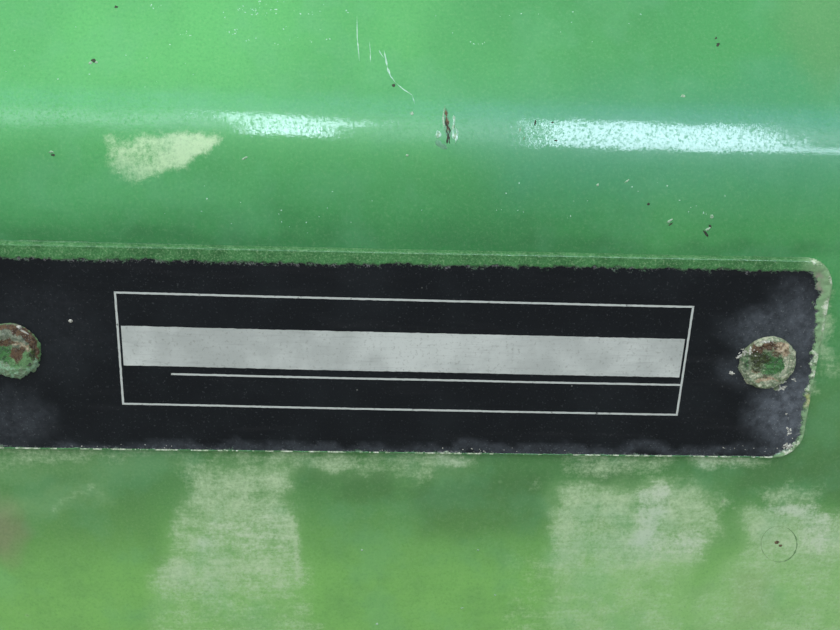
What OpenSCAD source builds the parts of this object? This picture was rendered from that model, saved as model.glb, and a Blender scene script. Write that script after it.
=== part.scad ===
// Welded frame cross member with a riveted identification plate.
// X runs along the member, Y from its front to its open back, and Z up.
// The origin is the middle of the bolt holes, on the outer face of the left end plate.

/* [Rail] */
// Length of the formed rail between its end plates
rail_l = 324; // [280:2:480]
// Thickness of the rail's sheet
wall_t = 6; // [4:0.5:8]
// Depth from the web's front face to the rear edges of both flanges
rail_d = 84; // [78:1:110]
// Height of the flat web between its bends
web_h = 86.5; // [80:0.5:110]
// Outer radius of the bend at the bottom
foot_r = 18; // [12:1:22]
// Outer radius of the bend above the plate
brow_r = 34; // [24:1:40]
// Angle that the sheet turns through at that bend
brow_a = 38; // [32:1:45]
// Length of the flat shoulder that slopes back above it
shoulder_l = 45; // [36:1:50]
// Outer radius of the bend from the shoulder to the top flange
crown_r = 18; // [12:1:22]

/* [End plates] */
// Thickness of an end plate
end_t = 8; // [6:1:12]
// How far an end plate stands out past the rail, front, back, top and bottom
end_rim = 10; // [7:1:16]
// Diameter of the bolt holes
bolt_d = 13.5; // [9:0.5:14]
// Distance between the bolt holes, front to back
bolt_gap_y = 38; // [30:1:44]
// Distance between the bolt holes, bottom to top
bolt_gap_z = 80; // [70:1:90]
// Middle of the bolt holes, behind the web's front face
bolt_y = 43; // [40:1:46]
// Middle of the bolt holes, above the rail's underside
bolt_z = 72; // [66:1:76]

/* [Ribs] */
// Thickness of a rib
rib_t = 5; // [3:0.5:8]
// Distance of each rib's middle from the rail's middle
rib_off = 95; // [75:1:110]
// Depth of a rib, behind the web's front face
rib_d = 60; // [56:1:70]
// How deep an arc hollows the rib's rear edge
rib_scoop = 14; // [6:1:20]
// Straight stretch of that edge next to each flange
rib_land = 12; // [6:1:20]

/* [Weld beads] */
// Leg of the fillet welds at the end plates and ribs
weld_leg = 5; // [3:0.5:6]
// Distance from each end of a flat to the bead on it
weld_gap = 4; // [2:0.5:8]

/* [Identification plate] */
// Width of the plate
plate_w = 130; // [110:1:150]
// Height of the plate
plate_h = 33.5; // [28:0.5:40]
// Thickness of the plate
plate_t = 0.8; // [0.5:0.1:1.5]
// Radius of the plate's corners
plate_r = 4.5; // [2:0.5:8]
// Distance from the plate's top edge up to the start of the bend
plate_drop = 3; // [1:0.5:8]

/* [Rivets] */
// Distance from the plate's end to the middle of the rivet
rivet_edge = 7.75; // [6:0.25:12]
// Diameter of the rivet's shank
shank_d = 4; // [3.2:0.1:4.8]
// Clearance between the shank and its holes, on the diameter
hole_clear = 0.1; // [0.05:0.05:0.3]
// Diameter of the rivet's head
head_d = 8.4; // [7:0.1:9.6]
// Height that the domed head would have with no dish in it
head_h = 1.4; // [1:0.1:1.8]
// Thickness of the head at its edge
brim_h = 0.3; // [0.2:0.1:0.5]
// Radius of the dish in the head
dish_r = 2.8; // [1.8:0.1:3.2]
// Depth of that dish below its rim
dish_h = 0.7; // [0.4:0.1:0.8]
// Length of the bulbed tail behind the web
tail_l = 3.8; // [3:0.1:5]
// Diameter of the tail where it is widest
tail_d = 6.2; // [5.4:0.1:7]
// Diameter of the tail at its two ends
tail_end_d = 4.6; // [4.2:0.1:5]

/* [Mandrels] */
// Diameter of the mandrel's stem
stem_d = 2.2; // [1.8:0.1:2.6]
// Clearance between the stem and the rivet's bore, on the diameter
stem_clear = 0.06; // [0.02:0.02:0.1]
// Depth of the broken end below the dish
break_h = 0.3; // [0.1:0.1:1]
// Diameter of the mandrel's head
bulb_d = 3.8; // [3.2:0.1:4.2]
// Height of the mandrel's head
bulb_h = 1.4; // [1:0.1:1.8]

/* [Hidden] */
$fn = 64;
LEFT = -1;
RIGHT = 1;
enamel = [0.31, 0.62, 0.35];
steel = [0.55, 0.56, 0.57];

// The profile is a path along the sheet's outer face, in the plane of Y and Z. It starts at the
// rear edge of the bottom flange, and the sheet lies on its right-hand side.
// Columns: length of the flat before the fold, angle of the fold, outer radius of the fold
FLAT = 0;
TURN = 1;
RADIUS = 2;
folds = [
    [rail_d - foot_r, 90, foot_r],
    [web_h, brow_a, brow_r],
    [shoulder_l, 90 - brow_a, crown_r]
];
last = len(folds) - 1;

function dir(a) = [cos(a), sin(a)];
function arc_r(half_chord, rise) = (half_chord * half_chord + rise * rise) / (2 * rise);
// Heading of flat i, and its outward direction
function heading(i) = i == 0 ? 180 : heading(i - 1) - folds[i - 1][TURN];
function out(i) = dir(heading(i) + 90);
// Where fold i begins and ends, and its centre, with the outline grown outward by g
function enter(i, g = 0) = leave(i - 1) + folds[i][FLAT] * dir(heading(i)) + g * out(i);
function leave(i, g = 0) =
    i < 0 ? [rail_d, 0] : centre(i) + (folds[i][RADIUS] + g) * out(i + 1);
function centre(i) = enter(i) - folds[i][RADIUS] * out(i);
function flat_length(i) = i > last ? rail_d - leave(last)[0] : folds[i][FLAT];
// The stretch of a flat that the rib reaches, which is shorter on the two flanges
function rib_start(i) = i == 0 ? rail_d - rib_d : 0;
function rib_end(i) = i > last ? rib_d - leave(last)[0] : flat_length(i);

rail_h = leave(last)[1];
member_l = rail_l + 2 * end_t;
middle_x = member_l / 2;
plate_top = enter(1)[1] - plate_drop;
plate_z = plate_top - plate_h / 2;
rivet_off = plate_w / 2 - rivet_edge;
grip = plate_t + wall_t;
tail_z = -grip - tail_l;
dome_r = arc_r(head_d / 2, head_h - brim_h);
dish_rim = head_h - dome_r + sqrt(dome_r * dome_r - dish_r * dish_r);
dish_floor = dish_rim - dish_h;

// Sector of fold i, out to radius r
module sector(i, r) {
    reach = 2 * r;
    translate(centre(i)) intersection() {
        circle(r = r);
        polygon([[0, 0], reach * out(i + 1), reach * out(i)]);
    }
}

// Outline of the channel, grown by g, with straight edges across the folds and closed at the rear
module straight_outline(g, rear) {
    polygon(concat(
        [[rear, rail_h + g]],
        [for (i = [last:-1:0]) each [leave(i, g), enter(i, g)]],
        [[rear, -g]]
    ));
}

// The same outline with its round folds
module outline(g, rear) {
    straight_outline(g, rear);
    for (i = [0:last]) sector(i, folds[i][RADIUS] + g);
}

// Cross-section of the folded sheet, open at the rear
module sheet() {
    difference() {
        outline(0, rail_d);
        outline(-wall_t, rail_d + wall_t);
    }
}

// Puts a shape, drawn from the rail's underside and front face, in the part's own frame
module placed() {
    translate([0, -bolt_y, -bolt_z]) children();
}

// Runs a cross-section along X from x, over the length l
module along(x, l) {
    translate([x, 0, 0]) rotate([90, 0, 90]) linear_extrude(l) children();
}

// Shows a shape made for the left end there, or mirrored at the right end
module at_end(side) {
    if (side == LEFT) children();
    else translate([member_l, 0, 0]) mirror([1, 0, 0]) children();
}

module at_rivet(side) {
    translate([middle_x + side * rivet_off, -plate_t, plate_z]) rotate([90, 0, 0]) children();
}

module frame_rail() {
    color(enamel) placed() difference() {
        along(end_t, rail_l) sheet();
        for (side = [LEFT, RIGHT]) at_rivet(side) rivet_hole();
    }
}

module end_plate(side) {
    color(enamel) placed() at_end(side) along(0, end_t) difference() {
        outline(end_rim, rail_d + end_rim);
        for (dy = [-1, 1], dz = [-1, 1])
            translate([bolt_y + dy * bolt_gap_y / 2, bolt_z + dz * bolt_gap_z / 2])
                circle(d = bolt_d);
    }
}

// A rib has straight edges across the sheet's bends, and an arc that hollows its rear edge
module rib(side) {
    chord = rail_h - 2 * (wall_t + rib_land);
    scoop_r = arc_r(chord / 2, rib_scoop);
    color(enamel) placed() along(middle_x + side * rib_off - rib_t / 2, rib_t) difference() {
        straight_outline(-wall_t, rib_d);
        translate([rib_d - rib_scoop + scoop_r, rail_h / 2]) circle(r = scoop_r);
    }
}

// A fillet weld lies on every flat of the rail, outside at the end plate and inside at the rib
module weld(side) {
    color(enamel) placed() at_end(side) rotate([90, 0, 90]) for (i = [0:last + 1])
        translate(leave(i - 1)) rotate(heading(i)) {
            translate([0, 0, end_t]) bead(weld_gap, flat_length(i) - weld_gap);
            translate([0, -wall_t, middle_x - rib_off - rib_t / 2]) rotate([180, 0, 0])
                bead(rib_start(i) + weld_gap, rib_end(i) - weld_gap);
        }
}

// Bead along a flat, from one distance to another, between the flat and the plate that stands on it
module bead(from, to) {
    translate([from, 0, 0]) rotate([90, 0, 90]) linear_extrude(to - from)
        polygon([[0, 0], [weld_leg, 0], [0, weld_leg]]);
}

module id_plate() {
    inner_w = plate_w - 2 * plate_r;
    inner_h = plate_h - 2 * plate_r;
    color("black") placed() difference() {
        translate([middle_x, 0, plate_z]) rotate([90, 0, 0]) linear_extrude(plate_t) {
            square([plate_w, inner_h], center = true);
            square([inner_w, plate_h], center = true);
            for (sx = [-1, 1], sy = [-1, 1])
                translate([sx * inner_w / 2, sy * inner_h / 2]) circle(r = plate_r);
        }
        for (side = [LEFT, RIGHT]) at_rivet(side) rivet_hole();
    }
}

// A rivet is drawn upward from the plate's front face, which is at height 0
module rivet_hole() {
    over = 1;
    translate([0, 0, -grip - over]) cylinder(d = shank_d + hole_clear, h = grip + 2 * over);
}

// Half of a low dome of height h: an arc of the given rise, over an upright edge
module crown(half_w, h, rise) {
    r = arc_r(half_w, rise);
    intersection() {
        translate([0, h - r]) circle(r = r);
        square([half_w, h]);
    }
}

module rivet(side) {
    tail_rise = (tail_d - tail_end_d) / 2;
    tail_arc = arc_r(tail_l / 2, tail_rise);
    dish_arc = arc_r(dish_r, dish_h);
    bore = (stem_d + stem_clear) / 2;
    color(enamel) placed() at_rivet(side) rotate_extrude() difference() {
        union() {
            crown(head_d / 2, head_h, head_h - brim_h);
            translate([0, -grip]) square([shank_d / 2, grip]);
            intersection() {
                translate([tail_d / 2 - tail_arc, tail_z + tail_l / 2]) circle(r = tail_arc);
                translate([0, tail_z]) square([tail_d / 2, tail_l]);
            }
        }
        translate([0, dish_floor + dish_arc]) circle(r = dish_arc);
        translate([0, tail_z - 1]) square([bore, dish_rim - tail_z + 1]);
    }
}

// The mandrel's head closes the rivet's tail, and its stem ends where it broke off in the bore
module mandrel(side) {
    color(steel) placed() at_rivet(side) rotate_extrude() {
        translate([0, tail_z]) square([stem_d / 2, dish_floor - break_h - tail_z]);
        translate([0, tail_z]) mirror([0, 1]) crown(bulb_d / 2, bulb_h, bulb_h - brim_h);
    }
}

frame_rail();
end_plate(LEFT);  // end_plate_left
end_plate(RIGHT);  // end_plate_right
rib(LEFT);  // rib_left
rib(RIGHT);  // rib_right
weld(LEFT);  // weld_left
weld(RIGHT);  // weld_right
id_plate();
rivet(LEFT);  // rivet_left
rivet(RIGHT);  // rivet_right
mandrel(LEFT);  // mandrel_left
mandrel(RIGHT);  // mandrel_right
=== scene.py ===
"""Dresses the frame cross member: weathered green enamel, a blank black plate and two painted rivets."""

import math
import random

import bpy
import bmesh
from mathutils import Matrix, Vector, noise
from mathutils.bvhtree import BVHTree


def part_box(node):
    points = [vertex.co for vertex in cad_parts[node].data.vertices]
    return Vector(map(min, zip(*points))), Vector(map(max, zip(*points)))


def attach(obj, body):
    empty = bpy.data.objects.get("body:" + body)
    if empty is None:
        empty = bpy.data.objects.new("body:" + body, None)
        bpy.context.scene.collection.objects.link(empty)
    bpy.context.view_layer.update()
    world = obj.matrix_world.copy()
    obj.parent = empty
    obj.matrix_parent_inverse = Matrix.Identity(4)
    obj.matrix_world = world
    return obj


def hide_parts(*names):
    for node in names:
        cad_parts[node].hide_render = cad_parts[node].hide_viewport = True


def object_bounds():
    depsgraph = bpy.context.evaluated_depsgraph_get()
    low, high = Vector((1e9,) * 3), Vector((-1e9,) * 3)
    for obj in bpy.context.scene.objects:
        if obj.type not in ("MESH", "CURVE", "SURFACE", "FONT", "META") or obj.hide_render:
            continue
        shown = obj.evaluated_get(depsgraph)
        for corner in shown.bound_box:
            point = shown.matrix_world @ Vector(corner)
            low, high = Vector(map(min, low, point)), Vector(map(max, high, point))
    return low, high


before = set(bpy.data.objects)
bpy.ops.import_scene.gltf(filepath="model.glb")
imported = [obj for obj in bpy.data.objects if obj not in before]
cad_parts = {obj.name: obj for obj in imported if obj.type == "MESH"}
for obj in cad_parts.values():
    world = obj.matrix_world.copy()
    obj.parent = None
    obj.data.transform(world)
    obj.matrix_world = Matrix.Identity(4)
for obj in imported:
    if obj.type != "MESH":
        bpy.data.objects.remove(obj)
cad_low, cad_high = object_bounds()

MM = 0.001
RAIL_LOW, RAIL_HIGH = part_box("frame_rail")
PLATE_LOW, PLATE_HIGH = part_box("id_plate")
MEMBER_LOW, MEMBER_HIGH = cad_low.copy(), cad_high.copy()
WEB_Y = RAIL_LOW.y
PLATE_Y = PLATE_LOW.y
PLATE_MID = Vector(((PLATE_LOW.x + PLATE_HIGH.x) / 2, PLATE_Y, (PLATE_LOW.z + PLATE_HIGH.z) / 2))
PLATE_W = PLATE_HIGH.x - PLATE_LOW.x
PLATE_H = PLATE_HIGH.z - PLATE_LOW.z
PLATE_T = WEB_Y - PLATE_Y

# The rail's folded sheet, as in its construction
WALL = 6 * MM
FOOT_R = 18 * MM
BROW_R = 34 * MM
BROW_TURN = 38
SHOULDER = 45 * MM
CROWN_R = 18 * MM
WEB_H = 86.5 * MM
PLATE_R = 4.5 * MM
WELD_LEG = 5 * MM
WELD_GAP = 4 * MM

# The end plates' bolt holes, and the washers that have marked the paint round them
BOLT_ACROSS = 38 * MM
BOLT_UP = 80 * MM
WASHER_R = 12 * MM

# The photograph's camera, fitted to the plate
IMAGE_W = 840
IMAGE_H = 630
FOCAL_PX = 1080
SENSOR = 36
CAMERA_AT = Vector((166.1, -191.8, 82.4)) * MM
CAMERA_AZIMUTH = 2.86
CAMERA_ELEVATION = -22.96
CAMERA_ROLL = 2.15


def srgb(r, g, b):
    """A colour given as it looks on screen, from 0 to 255, as the shaders take it."""
    def linear(v):
        v /= 255
        return v / 12.92 if v <= 0.04045 else ((v + 0.055) / 1.055) ** 2.4
    return (linear(r), linear(g), linear(b), 1.0)


# Camera

def camera_axes():
    """The camera's right, up and forward directions."""
    a, e, r = (math.radians(v) for v in (CAMERA_AZIMUTH, CAMERA_ELEVATION, CAMERA_ROLL))
    forward = Vector((math.sin(a) * math.cos(e), math.cos(a) * math.cos(e), math.sin(e)))
    level = forward.cross(Vector((0, 0, 1))).normalized()
    upright = level.cross(forward)
    right = level * math.cos(r) + upright * math.sin(r)
    return right, right.cross(forward), forward


RIGHT, UP, FORWARD = camera_axes()


def make_camera():
    data = bpy.data.cameras.new("camera")
    data.sensor_width = SENSOR
    data.lens = FOCAL_PX / IMAGE_W * SENSOR
    data.clip_start = 0.005
    data.clip_end = 20
    camera = bpy.data.objects.new("camera", data)
    bpy.context.scene.collection.objects.link(camera)
    turn = Matrix((RIGHT, UP, -FORWARD)).transposed().to_4x4()
    camera.matrix_world = Matrix.Translation(CAMERA_AT) @ turn
    bpy.context.scene.camera = camera


def pixel_ray(px, py):
    """Direction from the camera through a point of the photograph."""
    across = (px - IMAGE_W / 2) / FOCAL_PX
    down = (py - IMAGE_H / 2) / FOCAL_PX
    return (FORWARD + RIGHT * across - UP * down).normalized()


def pixel_of(point):
    """Where a point of the object lies in the photograph."""
    ray = point - CAMERA_AT
    depth = max(ray.dot(FORWARD), 1e-4)
    px = IMAGE_W / 2 + FOCAL_PX * ray.dot(RIGHT) / depth
    py = IMAGE_H / 2 - FOCAL_PX * ray.dot(UP) / depth
    return px, py


# Meshes

def add_mesh(name, verts, faces, material=None, smooth_angle=35):
    mesh = bpy.data.meshes.new(name)
    mesh.from_pydata([tuple(v) for v in verts], [], faces)
    mesh.validate()
    work = bmesh.new()
    work.from_mesh(mesh)
    bmesh.ops.recalc_face_normals(work, faces=work.faces)
    work.to_mesh(mesh)
    work.free()
    mesh.polygons.foreach_set("use_smooth", [True] * len(mesh.polygons))
    mesh.set_sharp_from_angle(angle=math.radians(smooth_angle))
    if material:
        mesh.materials.append(material)
    piece = bpy.data.objects.new(name, mesh)
    bpy.context.scene.collection.objects.link(piece)
    return piece


def set_attribute(piece, name, values):
    layer = piece.data.attributes.new(name, "FLOAT", "POINT")
    layer.data.foreach_set("value", values)


def place(piece, slot, *replaced):
    """Puts a finished piece on the frame, for the CAD nodes that it stands for."""
    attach(piece, "root")
    if replaced:
        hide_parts(*replaced)
    return piece


def fractal(point, scale, octaves=4, seed=0.0):
    """Smooth noise about zero, at a scale in millimetres."""
    q = Vector(point) / (scale * MM) + Vector((seed, seed * 1.7, -seed))
    return noise.fractal(q, 1.0, 2.0, octaves)


def surface_of(piece):
    mesh = piece.data
    return BVHTree.FromPolygons([v.co.copy() for v in mesh.vertices],
                                [tuple(p.vertices) for p in mesh.polygons])


def grid_faces(rows, wide, start=0, closed=False, flip=False):
    """Quads between rows of points, where each row may close to a ring."""
    faces = []
    for row in range(rows - 1):
        for k in range(wide if closed else wide - 1):
            a, b = start + row * wide + k, start + row * wide + (k + 1) % wide
            faces.append((a, a + wide, b + wide, b) if flip else (a, b, b + wide, a + wide))
    return faces


def disc_faces(rings, count, start=0):
    """Faces of a round patch: a fan from its middle point, then quads between its rings."""
    fan = [(start, start + 1 + k, start + 1 + (k + 1) % count) for k in range(count)]
    return fan + grid_faces(rings, count, start + 1, closed=True, flip=True)


def span(start, end, step):
    """Evenly spaced values from start to end, about a step apart."""
    count = max(1, round(abs(end - start) / step))
    return [start + (end - start) * i / count for i in range(count + 1)]


def stepped(start, *runs):
    """Values from the start on, through runs that each have an end and a step."""
    values = []
    for end, step in runs:
        values += span(start, end, step)[:-1]
        start = end
    return values + [start]


def smooth_step(low, high, value):
    t = min(1.0, max(0.0, (value - low) / (high - low)))
    return t * t * (3 - 2 * t)


# Shader helper

class Shader:
    """Makes the nodes of one material. Positions come in as the row frame's metres."""

    SOCKETS = {"specular": "Specular IOR Level", "coat": "Coat Weight", "coat_rough": "Coat Roughness",
               "coat_ior": "Coat IOR", "metal": "Metallic"}

    def __init__(self, name):
        self.material = bpy.data.materials.new(name)
        self.material.use_nodes = True
        self.tree = self.material.node_tree
        self.surface = self.tree.nodes["Principled BSDF"]
        self.place = self.node("ShaderNodeTexCoord").outputs["Object"]

    def node(self, kind, **props):
        made = self.tree.nodes.new(kind)
        for key, value in props.items():
            setattr(made, key, value)
        return made

    def feed(self, socket, value):
        if isinstance(value, bpy.types.NodeSocket):
            self.tree.links.new(value, socket)
        else:
            socket.default_value = value

    def build(self, kind, output, inputs, **props):
        """A node with its inputs fed, and the output that is wanted of it."""
        made = self.node(kind, **props)
        for key, value in inputs.items():
            self.feed(made.inputs[key], value)
        return made.outputs[output]

    def set(self, name, value):
        self.feed(self.surface.inputs[name], value)

    def finish(self, colour, rough, relief, coat_relief=False, **more):
        """Sets the surface. Its relief is pairs of a height and its depth, from the lowest layer up."""
        self.set("Base Color", colour)
        self.set("Roughness", rough)
        for key, value in more.items():
            self.set(self.SOCKETS[key], value)
        normal = None
        for height, depth in relief:
            normal = self.bump(height, depth, normal)
        self.set("Normal", normal)
        if coat_relief:
            self.set("Coat Normal", normal)
        return self.material

    def moved(self, location, scale=(1, 1, 1)):
        return self.build("ShaderNodeMapping", "Vector",
                          {"Vector": self.place, "Scale": scale, "Location": location})

    def noise(self, size, detail=3.0, rough=0.5, stretch=(1, 1, 1), shift=0.0):
        """Noise from 0 to 1, with blobs of about the given size in millimetres."""
        at = self.moved((shift * 0.01, shift * 0.007, shift * -0.01), stretch)
        return self.build("ShaderNodeTexNoise", "Fac",
                          {"Vector": at, "Scale": 1 / (size * MM), "Detail": detail, "Roughness": rough})

    def cells(self, size, shift=0.0):
        """Distance from the nearest of scattered points, as a share of the size in millimetres."""
        at = self.moved((shift * 0.01, shift * -0.01, shift * 0.003))
        return self.build("ShaderNodeTexVoronoi", "Distance", {"Vector": at, "Scale": 1 / (size * MM)})

    def step(self, value, low, high, start=0.0, end=1.0):
        """Goes smoothly from start to end as the value goes from low to high."""
        ends = {"Value": value, "From Min": low, "From Max": high, "To Min": start, "To Max": end}
        return self.build("ShaderNodeMapRange", "Result", ends, interpolation_type="SMOOTHSTEP")

    def math(self, operation, a, b=0.0):
        return self.build("ShaderNodeMath", "Value", {0: a, 1: b}, operation=operation)

    def times(self, a, b):
        return self.math("MULTIPLY", a, b)

    def plus(self, a, b):
        return self.math("ADD", a, b)

    def mix(self, factor, a, b):
        """Two colours mixed by a factor."""
        return self.build("ShaderNodeMix", "Result", {"Factor": factor, "A": a, "B": b}, data_type="RGBA")

    def blend(self, factor, a, b):
        """Two plain numbers mixed by a factor."""
        return self.build("ShaderNodeMix", "Result", {"Factor": factor, "A": a, "B": b}, data_type="FLOAT")

    def layers(self, colour, *coats):
        """Lays coats over a colour. Each has its cover from 0 to 1, its strength and its own colour."""
        for cover, strength, over in coats:
            colour = self.mix(self.times(cover, strength) if strength != 1 else cover, colour, over)
        return colour

    def attribute(self, name):
        return self.node("ShaderNodeAttribute", attribute_name=name).outputs["Fac"]

    def axis(self, name):
        return self.build("ShaderNodeSeparateXYZ", name, {"Vector": self.place})

    def bump(self, height, depth, under=None):
        """Bump whose height runs from 0 to the depth, in millimetres."""
        inputs = {"Height": height, "Distance": depth * MM, "Strength": 1.0}
        if under is not None:
            inputs["Normal"] = under
        return self.build("ShaderNodeBump", "Normal", inputs)


# Colours

GREEN = srgb(76, 166, 98)
GREEN_DEEP = srgb(52, 124, 70)
GREEN_LIGHT = srgb(102, 190, 114)
OLIVE = srgb(94, 150, 88)
OLIVE_LIGHT = srgb(142, 208, 110)
DUST = srgb(206, 234, 192)
RUST_DARK = srgb(38, 34, 26)
LIME = srgb(176, 214, 166)
BLACK = srgb(15, 20, 25)
SILVER = srgb(206, 214, 212)
RIM_GREY, RIM_DARK = srgb(158, 174, 140), srgb(104, 126, 92)
DOME_GREEN, DOME_DARK = srgb(122, 170, 114), srgb(96, 146, 92)
COAT_IOR = 1.36


# Materials

def enamel(name, wear=1.0, ends=False):
    """Old green gloss enamel: duller and paler low down, dusty, chipped and finely speckled, with painted
    light on the rail's upward faces, a painted sky sheen and a painted reflection on the bend, and painted
    shade by the plate.
    """
    s = Shader(name)
    cloud = s.noise(30, detail=5, rough=0.6)
    streaky = s.noise(18, detail=4, stretch=(1, 1, 0.3), shift=3.1)
    patchy = s.noise(8, detail=6, rough=0.66, shift=6.4)
    mottle = s.noise(4.5, detail=7, rough=0.72, shift=7.7)
    grainy = s.noise(0.6, detail=5, rough=0.8, shift=3.9)
    wiped = s.noise(1.3, detail=5, rough=0.7, stretch=(0.14, 1, 1), shift=2.9)
    fine = s.noise(0.42, detail=4, rough=0.8, shift=1.3)
    veil = s.noise(11, detail=4, rough=0.6, shift=8.2)
    uneven = s.plus(s.plus(s.times(mottle, 1.5), s.times(grainy, 1.3)), s.times(wiped, 0.9))

    def scattered(tone, low, high, amount=uneven):
        """Cover by one tone's patches, broken up by the noise but only where there is a patch."""
        there = s.step(s.attribute(tone), 0.0, 0.14)
        return s.times(s.step(s.plus(s.attribute(tone), amount), low, high), there)

    # Below the plate the green is duller, and paler towards the bottom
    dull = s.mix(s.times(s.attribute("paler_low"), s.step(patchy, 0.25, 0.6, 0.65, 1.0)), OLIVE, OLIVE_LIGHT)
    # Painted light: the faces that look up are lighter, a little streaky
    top_light = s.mix(s.step(streaky, 0.4, 0.7), srgb(96, 190, 112), srgb(104, 202, 118))
    # Painted shade along the plate's top edge and under it, with some darker paint
    deep = s.times(s.attribute("deep"), s.step(patchy, 0.3, 0.65, 0.75, 1.0))
    haze = s.times(s.attribute("haze"), s.step(mottle, 0.3, 0.62, 0.75, 1.1))
    pale = scattered("pale", 1.9, 2.95)
    # Painted reflection: a pale, yellowish patch mirrored in the bend on the left
    cream = scattered("cream", 1.55, 2.50, s.times(s.plus(mottle, grainy), 1.5))

    # Tiny chips, dark in the middle with a pale rim
    scatter = s.step(s.noise(13, detail=2, shift=5.0), 0.56, 0.68)
    spots = s.cells(6.5, shift=2.2)
    bare = s.times(s.step(spots, 0.05, 0.03), scatter)
    rim = s.times(s.step(spots, 0.09, 0.05), scatter)

    colour = s.layers(
        GREEN,
        (s.step(cloud, 0.40, 0.68), 0.35, GREEN_DEEP),
        (s.step(streaky, 0.44, 0.74), 0.35, GREEN_LIGHT),
        # Painted reflection: a bluish sheen of the sky
        (s.attribute("sky_sheen"), 1, srgb(76, 158, 124)),
        (s.attribute("fresh"), 1, srgb(104, 200, 128)),
        (s.attribute("top_light"), 1, top_light),
        (s.attribute("dull"), 0.9, dull),
        (deep, 1, s.mix(s.attribute("dull"), srgb(38, 96, 58), srgb(62, 96, 54))),
        (s.attribute("brown"), 1, srgb(156, 146, 124)),
        (haze, 1, srgb(182, 228, 164)),
        (pale, 1, DUST),
        (scattered("splash", 2.05, 2.85), 1, srgb(216, 236, 210)),
        (cream, 0.92, srgb(212, 248, 202)),
        (s.step(fine, 0.50, 0.70), 0.13, LIME),
        (s.step(fine, 0.50, 0.32), 0.21, GREEN_DEEP),
        (s.step(veil, 0.48, 0.66), 0.16, srgb(118, 192, 150)),
        (rim, 0.3 * wear, LIME),
        (bare, 0.6 * wear, RUST_DARK),
    )
    if ends:
        colour, bare = worn_ends(s, colour, grainy, patchy)

    rough = s.blend(s.step(cloud, 0.3, 0.7), 0.24, 0.36)
    rough = s.blend(bare, s.blend(pale, rough, 0.72), 0.9)
    grit = s.noise(0.45, detail=4, rough=0.8, shift=9.0)
    peel = s.noise(1.6, detail=4, rough=0.75, shift=0.4)
    gloss = s.times(s.step(grit, 0.38, 0.52, 0.12, 1.0), s.blend(bare, 1.0, 0.1))
    relief = (peel, 0.016), (grit, 0.002), (s.math("SUBTRACT", 1.0, bare), 0.06)
    return s.finish(colour, rough, relief, coat_relief=True, specular=0.15, coat=gloss, coat_rough=0.025,
                    coat_ior=COAT_IOR)


def worn_ends(s, colour, grainy, patchy):
    """Wear of the end plates: chipped edges, rusty washer marks and dirt towards the floor."""
    low = s.step(s.plus(s.axis("Z"), s.times(patchy, 0.06)), 0.02, -0.03)
    facing_x = s.build("ShaderNodeSeparateXYZ", "X",
                       {"Vector": s.node("ShaderNodeNewGeometry").outputs["Normal"]})
    tilt = s.math("ABSOLUTE", facing_x)
    corner = s.times(s.step(tilt, 0.15, 0.35), s.step(tilt, 0.995, 0.96))
    chipped = s.noise(3.4, detail=6, rough=0.75, shift=8.8)
    chip = s.times(corner, s.step(chipped, 0.50, 0.56))
    across = s.math("SUBTRACT", s.math("ABSOLUTE", s.axis("Y")), BOLT_ACROSS / 2)
    up = s.math("SUBTRACT", s.math("ABSOLUTE", s.axis("Z")), BOLT_UP / 2)
    away = s.math("SQRT", s.plus(s.times(across, across), s.times(up, up)))
    away = s.plus(away, s.times(s.math("SUBTRACT", chipped, 0.5), 0.006))
    washer = s.times(s.step(away, WASHER_R + 0.3 * MM, WASHER_R - 0.3 * MM),
                     s.step(grainy, 0.40, 0.56, 0.15, 0.95))
    ring = s.times(s.step(away, WASHER_R + 1.4 * MM, WASHER_R), s.step(away, WASHER_R - 1.4 * MM, WASHER_R))
    rusty = s.mix(s.step(grainy, 0.42, 0.58), srgb(134, 98, 66), srgb(78, 56, 40))
    colour = s.layers(
        colour,
        (low, 0.45, OLIVE),
        (ring, 0.55, srgb(52, 84, 50)),
        (washer, 0.8, rusty),
        (chip, 0.85, s.mix(s.step(grainy, 0.44, 0.56), srgb(126, 112, 92), rusty)),
    )
    return colour, s.math("MAXIMUM", s.times(washer, 0.8), chip)


def black_plate():
    """Black anodised aluminium, worn grey and with a painted sheen of the sky near its ends, with painted
    glints, and dusted with paint spray.
    """
    s = Shader("black_plate")
    cloud = s.noise(9, detail=5, rough=0.62)
    grain = s.noise(2.4, detail=4, rough=0.6, stretch=(0.12, 1, 1), shift=4.0)
    fine = s.noise(0.34, detail=3, rough=0.75, shift=2.0)
    scuff = s.noise(1.3, detail=6, rough=0.75, shift=5.2)
    # Painted sheen of the sky where the plate bends by the right rivet, over real wear
    rub_and_sheen = s.times(s.attribute("rub_and_sheen"), s.step(scuff, 0.25, 0.75, 0.3, 1.1))
    glint = s.times(s.step(fine, 0.6, 0.72), s.plus(0.10, s.times(s.attribute("rub_and_sheen"), 0.6)))
    sprayed = s.attribute("spray")
    spray = s.times(s.step(s.plus(fine, s.times(sprayed, 0.3)), 0.74, 0.84), sprayed)
    few = s.step(s.noise(11, detail=2, shift=6.0), 0.54, 0.66)
    dot = s.times(s.step(s.cells(3.4, shift=1.0), 0.045, 0.02), few)
    colour = s.layers(
        BLACK,
        (s.step(cloud, 0.42, 0.7), 1, srgb(22, 27, 31)),
        (s.step(grain, 0.52, 0.8), 0.3, srgb(46, 48, 52)),
        (rub_and_sheen, 1, srgb(118, 127, 138)),
        (glint, 1, srgb(176, 184, 190)),
        (spray, 0.7, s.mix(s.step(scuff, 0.4, 0.6), srgb(96, 140, 104), srgb(150, 150, 156))),
        (dot, 0.6, srgb(170, 176, 172)),
    )
    rough = s.blend(s.step(cloud, 0.35, 0.7), 0.34, 0.5)
    return s.finish(colour, rough, ((grain, 0.006), (fine, 0.006)), specular=0.16)


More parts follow.
